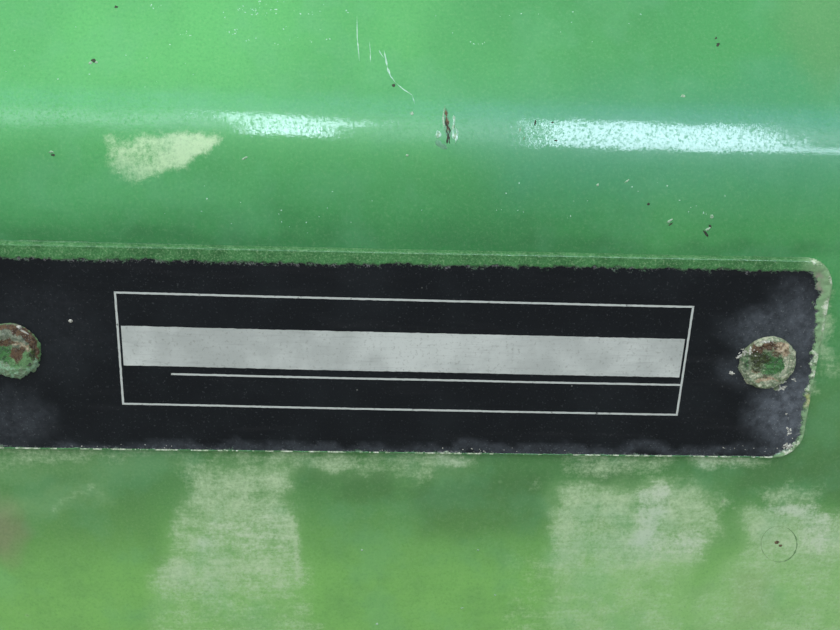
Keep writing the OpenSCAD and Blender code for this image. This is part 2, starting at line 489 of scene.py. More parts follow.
def silver_line():
    """Bare aluminium of the ruled lines, worn dark in places."""
    s = Shader("silver_line")
    wear = s.noise(0.7, detail=4, rough=0.7, shift=8.0)
    colour = s.mix(s.step(wear, 0.6, 0.72), SILVER, srgb(84, 88, 88))
    return s.finish(colour, 0.5, ((wear, 0.004),), metal=0.1)


def silver_field():
    """The bare, blank strip on the plate: satin aluminium with fine grey speckles."""
    s = Shader("silver_field")
    brush = s.noise(0.6, detail=4, rough=0.7, stretch=(0.08, 1, 1), shift=3.0)
    band = s.noise(12, detail=4, rough=0.6, shift=5.5)
    spot = s.noise(0.5, detail=4, rough=0.75, shift=6.2)
    colour = s.layers(
        srgb(190, 198, 196),
        (s.step(band, 0.36, 0.66), 1, srgb(220, 228, 226)),
        (s.step(brush, 0.5, 0.72), 0.22, srgb(120, 126, 126)),
        (s.step(spot, 0.54, 0.68), 0.4, srgb(124, 132, 126)),
    )
    return s.finish(colour, 0.46, ((spot, 0.006),), metal=0.15)


def paint_lip():
    """The torn paint film: green on top, chalky crust at the right end, speckled along its rim, with painted
    shade on its top bank, a painted highlight along its crest and painted light on its lower bank.
    """
    s = Shader("paint_lip")
    mottle = s.noise(0.8, detail=6, rough=0.75, shift=2.7)
    fine = s.noise(0.3, detail=3, rough=0.75, shift=4.1)
    cloud = s.noise(4, detail=4, rough=0.6, shift=1.1)
    green = s.layers(
        srgb(74, 142, 82),
        (s.step(cloud, 0.4, 0.66), 1, srgb(58, 120, 66)),
        (s.step(fine, 0.5, 0.7), 0.4, LIME),
        (s.step(fine, 0.48, 0.34, 0.0, 0.5), 1, srgb(36, 84, 46)),
        # Painted shade on the top bank, a painted highlight along the crest and painted light on the lower
        # bank
        (s.attribute("bank"), 0.35, srgb(44, 100, 58)),
        (s.times(s.attribute("crest"), s.step(mottle, 0.46, 0.6)), 0.42, srgb(160, 206, 158)),
        (s.attribute("foot"), 0.7, srgb(132, 178, 118)),
        (s.attribute("mint"), 0.8, srgb(154, 192, 148)),
    )
    crust = s.layers(
        srgb(170, 200, 160),
        (s.step(mottle, 0.44, 0.60), 1, srgb(232, 244, 226)),
        (s.step(mottle, 0.48, 0.38), 1, srgb(104, 150, 104)),
        (s.step(fine, 0.62, 0.7), 0.6, srgb(70, 66, 58)),
    )
    amount = s.step(s.plus(s.attribute("chalk"), s.times(mottle, 0.5)), 0.45, 0.85)
    broken = s.step(mottle, 0.36, 0.56)
    speck = s.step(s.plus(s.times(s.attribute("edge"), 0.5), s.times(fine, 0.9)), 0.72, 0.98)
    colour = s.layers(
        green,
        (amount, 1, crust),
        (s.times(s.attribute("primer"), broken), 1, srgb(158, 148, 142)),
        (s.times(s.attribute("yellow"), broken), 1, srgb(176, 178, 108)),
        (speck, 0.8, s.mix(s.step(mottle, 0.46, 0.56), srgb(30, 46, 40), srgb(112, 140, 118))),
    )
    bumps = s.times(mottle, s.blend(amount, 0.4, 1.0))
    grit = s.times(fine, s.blend(amount, 0.5, 1.0))
    return s.finish(colour, s.blend(amount, 0.34, 0.66), ((bumps, 0.07), (grit, 0.03)), coat_relief=True,
                    specular=0.2, coat=0.3, coat_rough=0.12)


def rivet_paint(name, rim, rim_dark, chalk):
    """Painted rivet: green in the bowl, crusted on its rim, with rust breaking through, and dark olive and
    rust patches that also carry painted shade in the bowl.
    """
    s = Shader(name)
    mottle = s.noise(0.5, detail=6, rough=0.8, shift=4.4)
    patch = s.noise(0.7, detail=5, rough=0.75, shift=6.6)
    fine = s.noise(0.22, detail=3, rough=0.75, shift=2.8)
    broken = s.plus(s.times(mottle, 1.6), s.times(fine, 1.2))
    colour = s.mix(s.step(mottle, 0.4, 0.60), rim, rim_dark)
    covers = {}
    for finish, light, dark in (
            ("grey", srgb(146, 156, 136), srgb(100, 116, 96)), ("green", srgb(80, 142, 78), srgb(46, 94, 46)),
            ("tan", srgb(214, 200, 172), srgb(150, 128, 100)), ("rust", srgb(114, 92, 68), srgb(72, 52, 36)),
            ("olive_and_shade", srgb(60, 76, 28), srgb(30, 42, 14)), ("chalk", chalk, srgb(132, 156, 124))):
        there = s.attribute(finish)
        cover = s.step(s.plus(s.times(there, 0.78), broken), 1.60, 1.98)
        covers[finish] = s.times(cover, s.step(there, 0.0, 0.2))
        colour = s.mix(covers[finish], colour, s.mix(s.step(patch, 0.43, 0.57), light, dark))
    crumbs = s.mix(s.step(patch, 0.47, 0.53), RUST_DARK, srgb(224, 228, 214))
    colour = s.layers(colour, (s.step(fine, 0.54, 0.64), 0.35, crumbs))
    dry = s.math("MAXIMUM", covers["rust"], s.math("MAXIMUM", covers["tan"], covers["chalk"]))
    return s.finish(colour, s.blend(dry, 0.38, 0.8), ((mottle, 0.22), (fine, 0.07)), coat_relief=True,
                    specular=0.25, coat=0.25, coat_rough=0.15)


def weld_paint():
    """Enamel over the weld beads, thin on the ripples and dirty at the toes."""
    s = Shader("weld_enamel")
    cloud = s.noise(7, detail=5, rough=0.6)
    crust = s.noise(0.9, detail=4, rough=0.7, shift=3.3)
    dirt = s.mix(s.attribute("toe"), GREEN_LIGHT, srgb(70, 84, 52))
    colour = s.layers(
        GREEN,
        (s.step(cloud, 0.4, 0.66), 1, GREEN_DEEP),
        (s.step(crust, 0.56, 0.72), 0.35, dirt),
    )
    return s.finish(colour, 0.34, ((crust, 0.03),), specular=0.15, coat=0.5, coat_rough=0.1,
                    coat_ior=COAT_IOR)


def bare_steel():
    """The broken face and the bore of a mandrel, pitted and a little rusty."""
    s = Shader("broken_steel")
    pit = s.noise(0.5, detail=4, rough=0.7)
    colour = s.mix(s.step(pit, 0.4, 0.62), srgb(150, 146, 140), srgb(96, 74, 56))
    return s.finish(colour, s.blend(pit, 0.3, 0.7), ((pit, 0.03),), metal=0.8)


def flat_mark(name, light, dark, size, rough):
    """Finish of a small mark, mottled between two colours."""
    s = Shader(name)
    mottle = s.noise(size, detail=4, rough=0.7, shift=1.9)
    return s.finish(s.mix(s.step(mottle, 0.4, 0.62), light, dark), rough, ((mottle, 0.03),))


# The folded rail

# Columns: length of the flat before the fold, angle of the fold, outer radius of the fold
RAIL_D = RAIL_HIGH.y - RAIL_LOW.y
FOLDS = (
    (RAIL_D - FOOT_R, 90, FOOT_R),
    (WEB_H, BROW_TURN, BROW_R),
    (SHOULDER, 90 - BROW_TURN, CROWN_R),
)


def heading_vector(degrees):
    """Direction across the rail, where 0 is backward and 90 is up."""
    return Vector((0, math.cos(math.radians(degrees)), math.sin(math.radians(degrees))))


def rail_segments():
    """Flats and folds of the outer face: start, length, first point or centre, heading, radius."""
    found = []
    at, heading, along = Vector((0, RAIL_HIGH.y, RAIL_LOW.z)), 180, 0.0
    for flat, turn, radius in FOLDS:
        found.append((along, flat, at.copy(), heading, 0))
        along += flat
        at += heading_vector(heading) * flat
        centre = at - heading_vector(heading + 90) * radius
        arc = math.radians(turn) * radius
        found.append((along, arc, centre, heading, radius))
        along += arc
        heading -= turn
        at = centre + heading_vector(heading + 90) * radius
    found.append((along, RAIL_HIGH.y - at.y, at.copy(), heading, 0))
    return found


SEGMENTS = rail_segments()
FLATS = [segment for segment in SEGMENTS if segment[4] == 0]
RAIL_RUN = SEGMENTS[-1][0] + SEGMENTS[-1][1]
WEB_START = FLATS[1][0]
SHOULDER_START = FLATS[2][0]


def on_rail(along):
    """Point and outward direction of the rail's outer face, at a distance along its profile."""
    for start, length, at, heading, radius in SEGMENTS:
        if along <= start + length:
            break
    if radius:
        out = heading_vector(heading + 90 - math.degrees((along - start) / radius))
        return at + out * radius, out
    return at + heading_vector(heading) * (along - start), heading_vector(heading + 90)


# Patches of the old paint, with painted light among them (a sky sheen, a pale reflection, and shade by the
# plate), drawn in the photograph's frame: strength, softness in pixels, then corners
PATCHES = {
    "haze": (
        (0.26, 16, ((207, 474), (240, 466), (288, 460), (294, 500), (300, 548), (306, 600), (300, 690),
                (240, 716), (150, 676), (154, 580), (168, 540), (180, 500))),
        (0.34, 14, ((560, 484), (640, 478), (700, 486), (722, 504), (704, 554), (690, 580), (552, 580),
                (552, 510))),
        (0.44, 16, ((548, 560), (690, 560), (684, 600), (676, 660), (636, 708), (548, 690))),
        (0.46, 12, ((742, 514), (790, 508), (880, 520), (906, 640), (850, 700), (690, 700), (690, 606),
                (714, 576), (740, 552), (748, 534))),
        (0.12, 8, ((700, 520), (760, 516), (740, 560), (700, 600), (676, 640), (660, 640), (690, 560))),
        (0.14, 10, ((-90, 452), (300, 458), (480, 460), (470, 478), (200, 474), (-90, 484))),
        (0.2, 10, ((-60, 498), (60, 488), (110, 480), (112, 500), (60, 512), (-60, 520))),
    ),
    "pale": (
        (0.56, 13, ((207, 478), (240, 470), (286, 462), (292, 500), (295, 548), (305, 580), (150, 590),
                (166, 556), (176, 515), (190, 494))),
        (0.3, 18, ((158, 566), (304, 566), (322, 640), (296, 690), (240, 716), (150, 676))),
        (0.6, 13, ((566, 484), (612, 491), (640, 480), (690, 484), (722, 504), (720, 524), (704, 554),
                (688, 566), (556, 566), (554, 530), (561, 506))),
        (0.22, 16, ((556, 556), (700, 552), (684, 596), (676, 660), (636, 708), (556, 684))),
        (0.66, 11, ((742, 514), (790, 508), (828, 512), (880, 526), (880, 556), (806, 560), (744, 552),
                (752, 538), (742, 524))),
        (0.24, 16, ((722, 572), (745, 552), (880, 546), (906, 640), (850, 700), (760, 684), (690, 700),
                (700, 600))),
        (0.45, 8, ((756, 492), (790, 482), (812, 492), (800, 504), (770, 506))),
        (0.4, 5, ((280, 450), (480, 454), (476, 468), (380, 472), (286, 464))),
        (0.34, 6, ((-90, 442), (170, 448), (280, 450), (280, 458), (100, 460), (-90, 466))),
        (0.26, 10, ((165, 458), (282, 456), (250, 476), (190, 486))),
        (0.6, 6, ((686, 456), (770, 458), (756, 468), (700, 468))),
        (0.45, 4, ((436, 457), (470, 458), (464, 467), (438, 466))),
        (0.42, 5, ((326, 462), (352, 456), (356, 462), (330, 470))),
        (0.4, 5, ((414, 467), (433, 467), (430, 480), (412, 478))),
        (0.4, 7, ((562, 452), (680, 455), (650, 474), (570, 470))),
        (0.6, 4, ((537, 480), (546, 481), (545, 490), (537, 489))),
        (0.55, 1.6, ((640, 499), (724, 505), (740, 508), (724, 507), (640, 501))),
        (0.5, 1.6, ((652, 507), (760, 512), (760, 514), (652, 509))),
        (0.45, 1.6, ((630, 515), (716, 520), (716, 522), (630, 517))),
        (0.4, 1.6, ((646, 524), (700, 528), (700, 530), (646, 526))),
        (0.5, 3, ((284, 512), (290, 514), (300, 548), (303, 575), (297, 578), (294, 552))),
        (0.34, 5, ((808, 372), (813, 372), (806, 430), (800, 442))),
        (0.4, 4, ((806, 380), (820, 384), (818, 400), (808, 398))),
        (0.5, 6, ((824, 286), (836, 286), (832, 376), (820, 376))),
        (0.3, 4, ((50, 503), (104, 486), (106, 491), (54, 509))),
        (0.16, 14, ((500, 560), (560, 540), (560, 660), (500, 660))),
    ),
    "splash": (
        (0.72, 8, ((634, 486), (664, 486), (670, 508), (652, 544), (630, 546), (636, 512))),
        (0.74, 8, ((786, 510), (822, 512), (836, 528), (822, 550), (800, 548), (796, 530))),
        (0.56, 8, ((648, 532), (704, 530), (702, 556), (650, 558))),
        (0.3, 12, ((200, 520), (284, 516), (286, 556), (190, 558))),
        (0.5, 4, ((760, 505), (800, 503), (826, 512), (838, 524), (822, 520), (796, 512))),
        (0.4, 5, ((745, 506), (792, 505), (792, 510), (746, 511))),
        (0.36, 5, ((690, 457), (762, 459), (756, 468), (700, 468))),
        (0.4, 5, ((434, 456), (470, 457), (464, 468), (436, 467))),
    ),
    # Painted shade along the plate's top edge and in soft patches under it, with some darker paint below
    "deep": (
        (0.34, 8, ((-90, 226), (200, 231), (500, 238), (760, 243), (840, 250), (812, 264), (400, 260),
                (-90, 250))),
        (0.2, 14, ((280, 214), (560, 220), (560, 244), (280, 238))),
        (0.2, 9, ((300, 466), (332, 470), (330, 486), (300, 486))),
        (0.3, 10, ((338, 470), (385, 470), (400, 500), (340, 500))),
        (0.34, 14, ((410, 484), (470, 476), (548, 472), (552, 530), (420, 540))),
        (0.24, 8, ((575, 462), (630, 464), (640, 476), (612, 488), (585, 480))),
        (0.24, 10, ((740, 462), (800, 455), (870, 440), (870, 505), (812, 492), (790, 480), (756, 490),
                (738, 500))),
        (0.18, 20, ((-90, 490), (150, 486), (150, 550), (-90, 560))),
    ),
    # Painted reflection: a bluish sheen of the sky on the upper faces, round the bright streaks
    "sky_sheen": (
        (0.85, 50, ((430, 90), (900, 90), (900, 190), (520, 190))),
        (0.55, 14, ((-90, 106), (205, 108), (205, 134), (-90, 132))),
        (0.3, 12, ((370, 112), (520, 112), (520, 150), (370, 150))),
        (0.4, 20, ((250, 88), (330, 70), (430, 76), (430, 112), (250, 112))),
        (0.3, 14, ((740, 60), (790, 52), (812, 80), (770, 100), (740, 90))),
    ),
    "fresh": (
        (0.42, 26, ((-90, 172), (90, 170), (260, 176), (262, 214), (100, 214), (-90, 206))),
    ),
    "brown": (
        (0.58, 16, ((-40, 500), (8, 504), (24, 528), (12, 558), (-40, 562))),
        (0.25, 12, ((735, 570), (776, 572), (768, 620), (730, 620))),
        (0.14, 26, ((790, -60), (900, -60), (900, 100), (820, 90), (780, 30))),
    ),
    # Painted reflection: a pale, yellowish patch mirrored in the bend on the left
    "cream": (
        (0.46, 9, ((104, 136), (150, 131), (221, 133), (206, 152), (166, 171), (126, 187), (108, 170))),
        (0.4, 3, ((118, 136), (221, 134), (206, 152), (168, 170), (136, 182), (120, 158))),
        (0.6, 4, ((170, 139), (219, 137), (205, 153), (178, 162))),
    ),
}


def edge_distance(corners, px, py):
    """Distance in pixels from the outline of a patch, positive inside."""
    nearest, inside = math.inf, False
    for (ax, ay), (bx, by) in zip(corners, corners[1:] + corners[:1]):
        dx, dy = bx - ax, by - ay
        t = min(1.0, max(0.0, ((px - ax) * dx + (py - ay) * dy) / (dx * dx + dy * dy)))
        nearest = min(nearest, math.hypot(px - ax - t * dx, py - ay - t * dy))
        if (ay > py) != (by > py) and px < ax + (py - ay) * dx / dy:
            inside = not inside
    return nearest if inside else -nearest


def wander(px, py, reach, size):
    """A pixel moved a little, so that what is drawn there gets uneven edges."""
    spot = Vector((px / size, py / size, 0.5))
    across, down = (noise.fractal(spot + Vector(shift), 1, 2, 3) for shift in ((0, 0, 0), (7, 3, 1)))
    return px + reach * across, py + reach * down


def patch_cover(tone, px, py):
    """Cover from 0 to 1 by the patches of one tone at a pixel."""
    px, py = wander(px, py, 8, 30)
    clear = 1.0
    for strength, soft, corners in PATCHES[tone]:
        if (min(x for x, _ in corners) - soft < px < max(x for x, _ in corners) + soft
                and min(y for _, y in corners) - soft < py < max(y for _, y in corners) + soft):
            clear *= 1 - strength * smooth_step(-soft, soft, edge_distance(corners, px, py))
    return 1 - clear


def stain(stains, px, py, reach=8, size=26):
    """Cover by round stains: pixel x, pixel y, half width, half height, strength, softness of the edge."""
    px, py = wander(px, py, reach, size)
    clear = 1.0
    for x, y, half_w, half_h, strength, soft in stains:
        away = math.hypot((px - x) / half_w, (py - y) / half_h)
        clear *= 1 - strength * smooth_step(1 + soft, 1 - soft, away)
    return 1 - clear


def waviness(point):
    """How far the painted sheet stands out of true."""
    slow = fractal(point, 42, octaves=2, seed=2.3) * 0.11
    quick = fractal(point, 9, octaves=3, seed=8.1) * 0.028
    return (slow + quick) * MM


# The part of the rail that the photograph shows, and the size of the mesh's cells there
SEEN_LOW = WEB_START + 8 * MM
SEEN_HIGH = SHOULDER_START + 22 * MM
SEEN_HALF_W = 68 * MM
SEEN_CELL = 0.65 * MM


def rail_section():
    """The sheet's section, as distances along its outer face and depths behind it."""
    coarse, edge_r = 5 * MM, 0.7 * MM
    foot, crown, end = FLATS[0][1], FLATS[3][0], RAIL_RUN - edge_r
    shoulder_end = SHOULDER_START + SHOULDER

    def rounded(along, depth, first):
        turns = [math.radians(first + a) for a in (0, 30, 60)]
        return [(along + edge_r * math.cos(t), depth + edge_r * math.sin(t)) for t in turns]

    outer = stepped(edge_r, (foot, coarse), (WEB_START, 2 * MM), (SEEN_LOW, 2 * MM), (SEEN_HIGH, SEEN_CELL),
                    (shoulder_end, coarse), (crown, 1.6 * MM), (end, coarse))
    inner = stepped(end, (crown, coarse), (shoulder_end, 2.5 * MM), (SHOULDER_START, coarse),
                    (WEB_START + WEB_H, 2.5 * MM), (WEB_START, coarse), (foot, 2.5 * MM), (edge_r, coarse))
    return ([(s, 0.0) for s in outer] + rounded(end, edge_r, -60) + rounded(end, WALL - edge_r, 0)
            + [(s, WALL) for s in inner] + rounded(edge_r, WALL - edge_r, 120) + rounded(edge_r, edge_r, 180))


def make_rail():
    """The folded sheet, with fine rows and columns where the photograph shows it."""
    middle = PLATE_MID.x
    loop = rail_section()
    columns = stepped(RAIL_LOW.x, (middle - SEEN_HALF_W, 4 * MM), (middle + SEEN_HALF_W, SEEN_CELL),
                      (RAIL_HIGH.x, 4 * MM))
    section = [on_rail(min(max(s, 0.0), RAIL_RUN)) + (s, depth) for s, depth in loop]
    verts = []
    tones = {tone: [] for tone in (*PATCHES, "dull", "paler_low", "top_light")}
    for x in columns:
        calm = smooth_step(0, 6 * MM, min(x - RAIL_LOW.x, RAIL_HIGH.x - x))
        for base, out, s, depth in section:
            point = Vector((x, base.y, base.z)) - out * depth
            point.y += max(0.0, s - RAIL_RUN) - max(0.0, -s)
            front = depth < WALL / 2
            amount = waviness(point) * calm
            point += out * (amount if front else -0.6 * amount)
            worn = dict.fromkeys(tones, 0.0)
            if front:
                # Painted light: the faces that look up get lighter, most of all on the left
                side = 1 - 0.85 * smooth_step(middle - 34 * MM, middle + 40 * MM, x)
                worn["top_light"] = smooth_step(0.10, 0.5, out.z) * side
            if front and SEEN_LOW - 40 * MM < s < SHOULDER_START + SHOULDER:
                pixel = pixel_of(point)
                worn.update({tone: patch_cover(tone, *pixel) for tone in PATCHES})
                on_web = smooth_step(WEB_START - 12 * MM, WEB_START, s)
                beyond = smooth_step(0, 30 * MM, abs(x - middle) - PLATE_W / 2)
                worn_z = point.z + fractal((x, 0, point.z), 45, octaves=4, seed=3.6) * 26 * MM * beyond
                worn["dull"] = smooth_step(PLATE_HIGH.z, PLATE_LOW.z + 4 * MM, worn_z) * on_web
                worn["paler_low"] = smooth_step(PLATE_LOW.z - 2 * MM, PLATE_LOW.z - 28 * MM, worn_z) * on_web
            for tone, value in worn.items():
                tones[tone].append(value)
            verts.append(point)
    rows, last = len(loop), (len(columns) - 1) * len(loop)
    faces = grid_faces(len(columns), rows, closed=True)
    faces += [tuple(range(rows)), tuple(range(last + rows - 1, last - 1, -1))]
    rail = add_mesh("rail_skin", verts, faces, enamel("rail_enamel"))
    for tone, values in tones.items():
        set_attribute(rail, tone, values)
    return place(rail, "enamel", "frame_rail")


# The plate

def plate_shares(x, z):
    """Where a point lies on the plate: from -1 at the left end and the bottom edge to 1 opposite."""
    return (x - PLATE_MID.x) / (PLATE_W / 2), (z - PLATE_MID.z) / (PLATE_H / 2)


def plate_inset(height):
    """How far the plate's rounded end falls short of its full half width, at a height from its middle."""
    over = max(0.0, abs(height) - (PLATE_H / 2 - PLATE_R))
    return PLATE_R - math.sqrt(max(0.0, PLATE_R ** 2 - over ** 2))


def plate_inside(x, z):
    """Distance from the plate's outline to a point on its face, positive inside."""
    across = abs(x - PLATE_MID.x) - (PLATE_W / 2 - PLATE_R)
    up = abs(z - PLATE_MID.z) - (PLATE_H / 2 - PLATE_R)
    if across > 0 and up > 0:
        return PLATE_R - math.hypot(across, up)
    return PLATE_R - max(across, up)


# Bow of the plate, its unevenness, and the depth and radius of the dimples, in millimetres
BOW = 0.07
BOW_UNEVEN = 0.08
DIMPLE = 0.16
DIMPLE_R = 4.0

RIVET_X = 57.25 * MM
RIVETS = {side: Vector((PLATE_MID.x + sign * RIVET_X, PLATE_Y, PLATE_MID.z))
          for side, sign in (("left", -1), ("right", 1))}


def plate_rise(x, z):
    """Bow of the thin plate, and its dimples under the rivets."""
    rise = BOW * math.cos((x - PLATE_MID.x) / PLATE_W * math.pi * 2.2)
    rise += fractal((x, 0, z), 18, octaves=2, seed=5.2) * BOW_UNEVEN
    for centre in RIVETS.values():
        near = math.hypot(x - centre.x, z - centre.z) / MM
        rise -= DIMPLE * math.exp(-((near - DIMPLE_R) / 2.6) ** 2)
    return rise * MM * smooth_step(0, 2.5 * MM, plate_inside(x, z))


def plate_front(x, z):
    """Y of the plate's front face."""
    return PLATE_Y - plate_rise(x, z)


# Where the black is worn grey and has a painted sheen of the sky, in the columns of the stains
RUB_AND_SHEEN = (
    (790, 412, 34, 34, 0.85, 0.6), (775, 330, 44, 20, 0.5, 0.6), (806, 350, 12, 50, 0.35, 0.6),
    (14, 418, 34, 26, 0.22, 0.6), (735, 372, 16, 16, 0.25, 0.6), (40, 330, 60, 40, 0.07, 0.6),
    (800, 300, 26, 24, 0.22, 0.6), (400, 450, 480, 6, 0.3, 0.5),
)


def make_plate():
    """The bowed and dimpled plate, with rounded corners and a slight round on its front edge."""
    round_steps = [math.radians(a) for a in (90, 78, 66, 54, 42, 30, 18, 8)]
    cell, edge = 0.8 * MM, 0.15 * MM
    straight = PLATE_H / 2 - PLATE_R
    tops = [straight + PLATE_R * math.sin(a) for a in round_steps]
    levels = tops + span(straight, -straight, cell) + [-t for t in reversed(tops)]
    columns = span(-1, 1, cell / (PLATE_W / 2))
    verts = []
    for front in (True, False):
        for height in levels:
            half = PLATE_W / 2 - plate_inset(height)
            for t in columns:
                x, z = PLATE_MID.x + t * half, PLATE_MID.z + height
                if front and plate_inside(x, z) < edge:
                    x -= edge * t
                    z -= edge * math.copysign(min(1, abs(height) / straight), height)
                verts.append(Vector((x, plate_front(x, z) if front else WEB_Y, z)))
    wide, tall = len(columns), len(levels)
    back = tall * wide
    faces = grid_faces(tall, wide) + grid_faces(tall, wide, back, flip=True)
    rim = list(range(wide)) + [r * wide + wide - 1 for r in range(1, tall)]
    rim += [(tall - 1) * wide + c for c in range(wide - 2, -1, -1)]
    rim += [r * wide for r in range(tall - 2, 0, -1)]
    faces += [(a, b, back + b, back + a) for a, b in zip(rim, rim[1:] + rim[:1])]
    plate = add_mesh("plate_body", verts, faces, black_plate())
    set_attribute(plate, "rub_and_sheen", [stain(RUB_AND_SHEEN, *pixel_of(v)) for v in verts])
    set_attribute(plate, "spray", [smooth_step(0.8, 0.0, -film_field(v.x, v.z)) for v in verts])
    return place(plate, "plate", "id_plate")


# Lines and the bare strip on the plate, from its middle, in millimetres
RULE_MID = (1.55, 0.12)
RULE_W = 85.7
RULE_H = 18.3
RULE_TILT = -0.40
LINE_W = 0.32
STRIP_TOP = 5.3
STRIP_BOTTOM = 11.8
STRIP_GAP = 0.5
DIVIDER_DOWN = 13.1
DIVIDER_FROM = 7.5
BAND_STEP = 0.5
BAND_LIFT = 0.02


def on_plate(across, up, lift=0.0):
    """A point on the plate from millimetres within the ruled frame, whose middle is (0, 0)."""
    tilt = math.radians(RULE_TILT)
    x = PLATE_MID.x + (RULE_MID[0] + across * math.cos(tilt) - up * math.sin(tilt)) * MM
    z = PLATE_MID.z + (RULE_MID[1] + across * math.sin(tilt) + up * math.cos(tilt)) * MM
    return Vector((x, plate_front(x, z) - lift * MM, z))


def plate_band(verts, faces, x0, x1, z0, z1, ragged):
    """A thin band on the plate, between two corners, with slightly uneven edges."""
    wide, tall = abs(x1 - x0), abs(z1 - z0)
    long_way = wide > tall
    count = max(2, round(max(wide, tall) / BAND_STEP))
    across = 6 if min(wide, tall) > 1 else 1
    start = len(verts)
    for i in range(count + 1):
        for j in range(across + 1):
            u, v = (i / count, j / across) if long_way else (j / across, i / count)
            x, z = x0 + (x1 - x0) * u, z0 + (z1 - z0) * v
            if j in (0, across):
                wobble = ragged * noise.noise(Vector((x * 1.7, z * 1.7, j * 3.1)))
                x, z = (x, z + wobble) if long_way else (x + wobble, z)
            verts.append(on_plate(x, z, BAND_LIFT))
    faces += grid_faces(count + 1, across + 1, start)


def make_rules():
    """The ruled frame, its divider and the bare strip."""
    half_w, half_h, half = RULE_W / 2, RULE_H / 2, LINE_W / 2
    divider = half_h - DIVIDER_DOWN
    lines = [(-half_w - half, half_w + half, z - half, z + half) for z in (half_h, -half_h)]
    lines += [(x - half, x + half, -half_h - half, half_h + half) for x in (-half_w, half_w)]
    lines += [(-half_w + DIVIDER_FROM, half_w, divider - half, divider + half)]
    strip = [(-half_w + STRIP_GAP, half_w - STRIP_GAP, half_h - STRIP_BOTTOM, half_h - STRIP_TOP)]
    for name, bands, ragged, material in (
            ("plate_lines", lines, 0.05, silver_line()), ("plate_strip", strip, 0.06, silver_field())):
        verts, faces = [], []
        for band in bands:
            plate_band(verts, faces, *band, ragged)
        place(add_mesh(name, verts, faces, material), "plate")


# Paint over the plate's edges

def film_margin(x, z):
    """How far the paint reaches in over the plate's edge, at the nearest part of the outline."""
    right, up = plate_shares(x, z)
    top = 2.15 * smooth_step(0.62, 0.88, up) - 0.35 * smooth_step(-0.9, 0.9, right)
    end = 0.75 + 0.35 * smooth_step(-0.4, 0.4, up) + 1.1 * smooth_step(0.2, 0.8, up)
    right_end = smooth_step(0.92, 0.955, right) * end
    left_end = smooth_step(-0.93, -0.96, right)
    return max(top, right_end, left_end, -0.05)


# Thickness of the film, and of the lumps that its right end has besides, in millimetres
FILM_T = 0.12
LUMP_T = 0.16


def film_field(x, z):
    """Positive where paint covers the plate, in millimetres from the film's torn edge."""
    inside = plate_inside(x, z) / MM
    point = (x, 0, z)
    across, up = plate_shares(x, z)
    right = smooth_step(0.90, 0.95, across)
    foot = smooth_step(-0.6, -0.85, up) * (1 - right)
    rough = right * smooth_step(-0.45, -0.1, up)
    torn = fractal(point, 2.6, octaves=3, seed=1.4) * (0.28 + 0.35 * rough)
    torn += fractal(point, 0.62, octaves=4, seed=4.8) * (0.34 + 0.25 * rough - 0.06 * foot)
    return film_margin(x, z) - inside + torn


def film_height(x, z):
    """Height of the film's face above the web, in millimetres, and how close it is to its torn edge."""
    inside = plate_inside(x, z) / MM
    field = film_field(x, z)
    point = (x, 0, z)
    across, up = plate_shares(x, z)
    right = smooth_step(0.92, 0.96, across)
    thick = FILM_T * (1 + 0.5 * fractal(point, 1.1, octaves=2, seed=3.0))
    lumps = 0.5 + fractal(point, 0.8, octaves=4, seed=6.1)
    thick += right * LUMP_T * lumps * smooth_step(2.2, 0.4, inside)
    foot = smooth_step(0, -0.9, up)
    bank = 0.16 + 0.28 * foot
    if inside >= 0:
        ground = (WEB_Y - plate_front(x, z)) / MM
        return ground + min(thick, field * 0.7), field
    fall = smooth_step(-bank, 0.05, inside) ** (1 - 0.6 * foot)
    return PLATE_T / MM * fall + thick * fall - 0.05 * (1 - fall), 9.0


# Where the film is crusted, bare to the primer, yellowed or pale, in the columns of the stains
FILM_STAINS = {
    "chalk": ((811, 358, 7, 8, 1.0, 0.5), (813, 374, 3, 4, 1.0, 0.5), (807, 388, 3.5, 7, 0.9, 0.5),
              (809, 403, 5, 4, 0.8, 0.6), (787, 449, 8, 4, 0.9, 0.6), (796, 443, 3, 3, 1.0, 0.5),
              (821, 264, 4, 2.5, 1.0, 0.5), (831, 279, 3, 4, 1.0, 0.5), (827, 308, 5, 9, 0.7, 0.6),
              (814, 261, 3, 4, 0.8, 0.5), (824, 330, 4, 10, 0.4, 0.6), (812, 258, 3, 2, 0.8, 0.5)),
    "primer": ((818, 281, 5, 9, 0.9, 0.5), (818, 292, 6, 4, 0.9, 0.5)),
    "yellow": ((808, 400, 4, 7, 0.8, 0.6),),
}


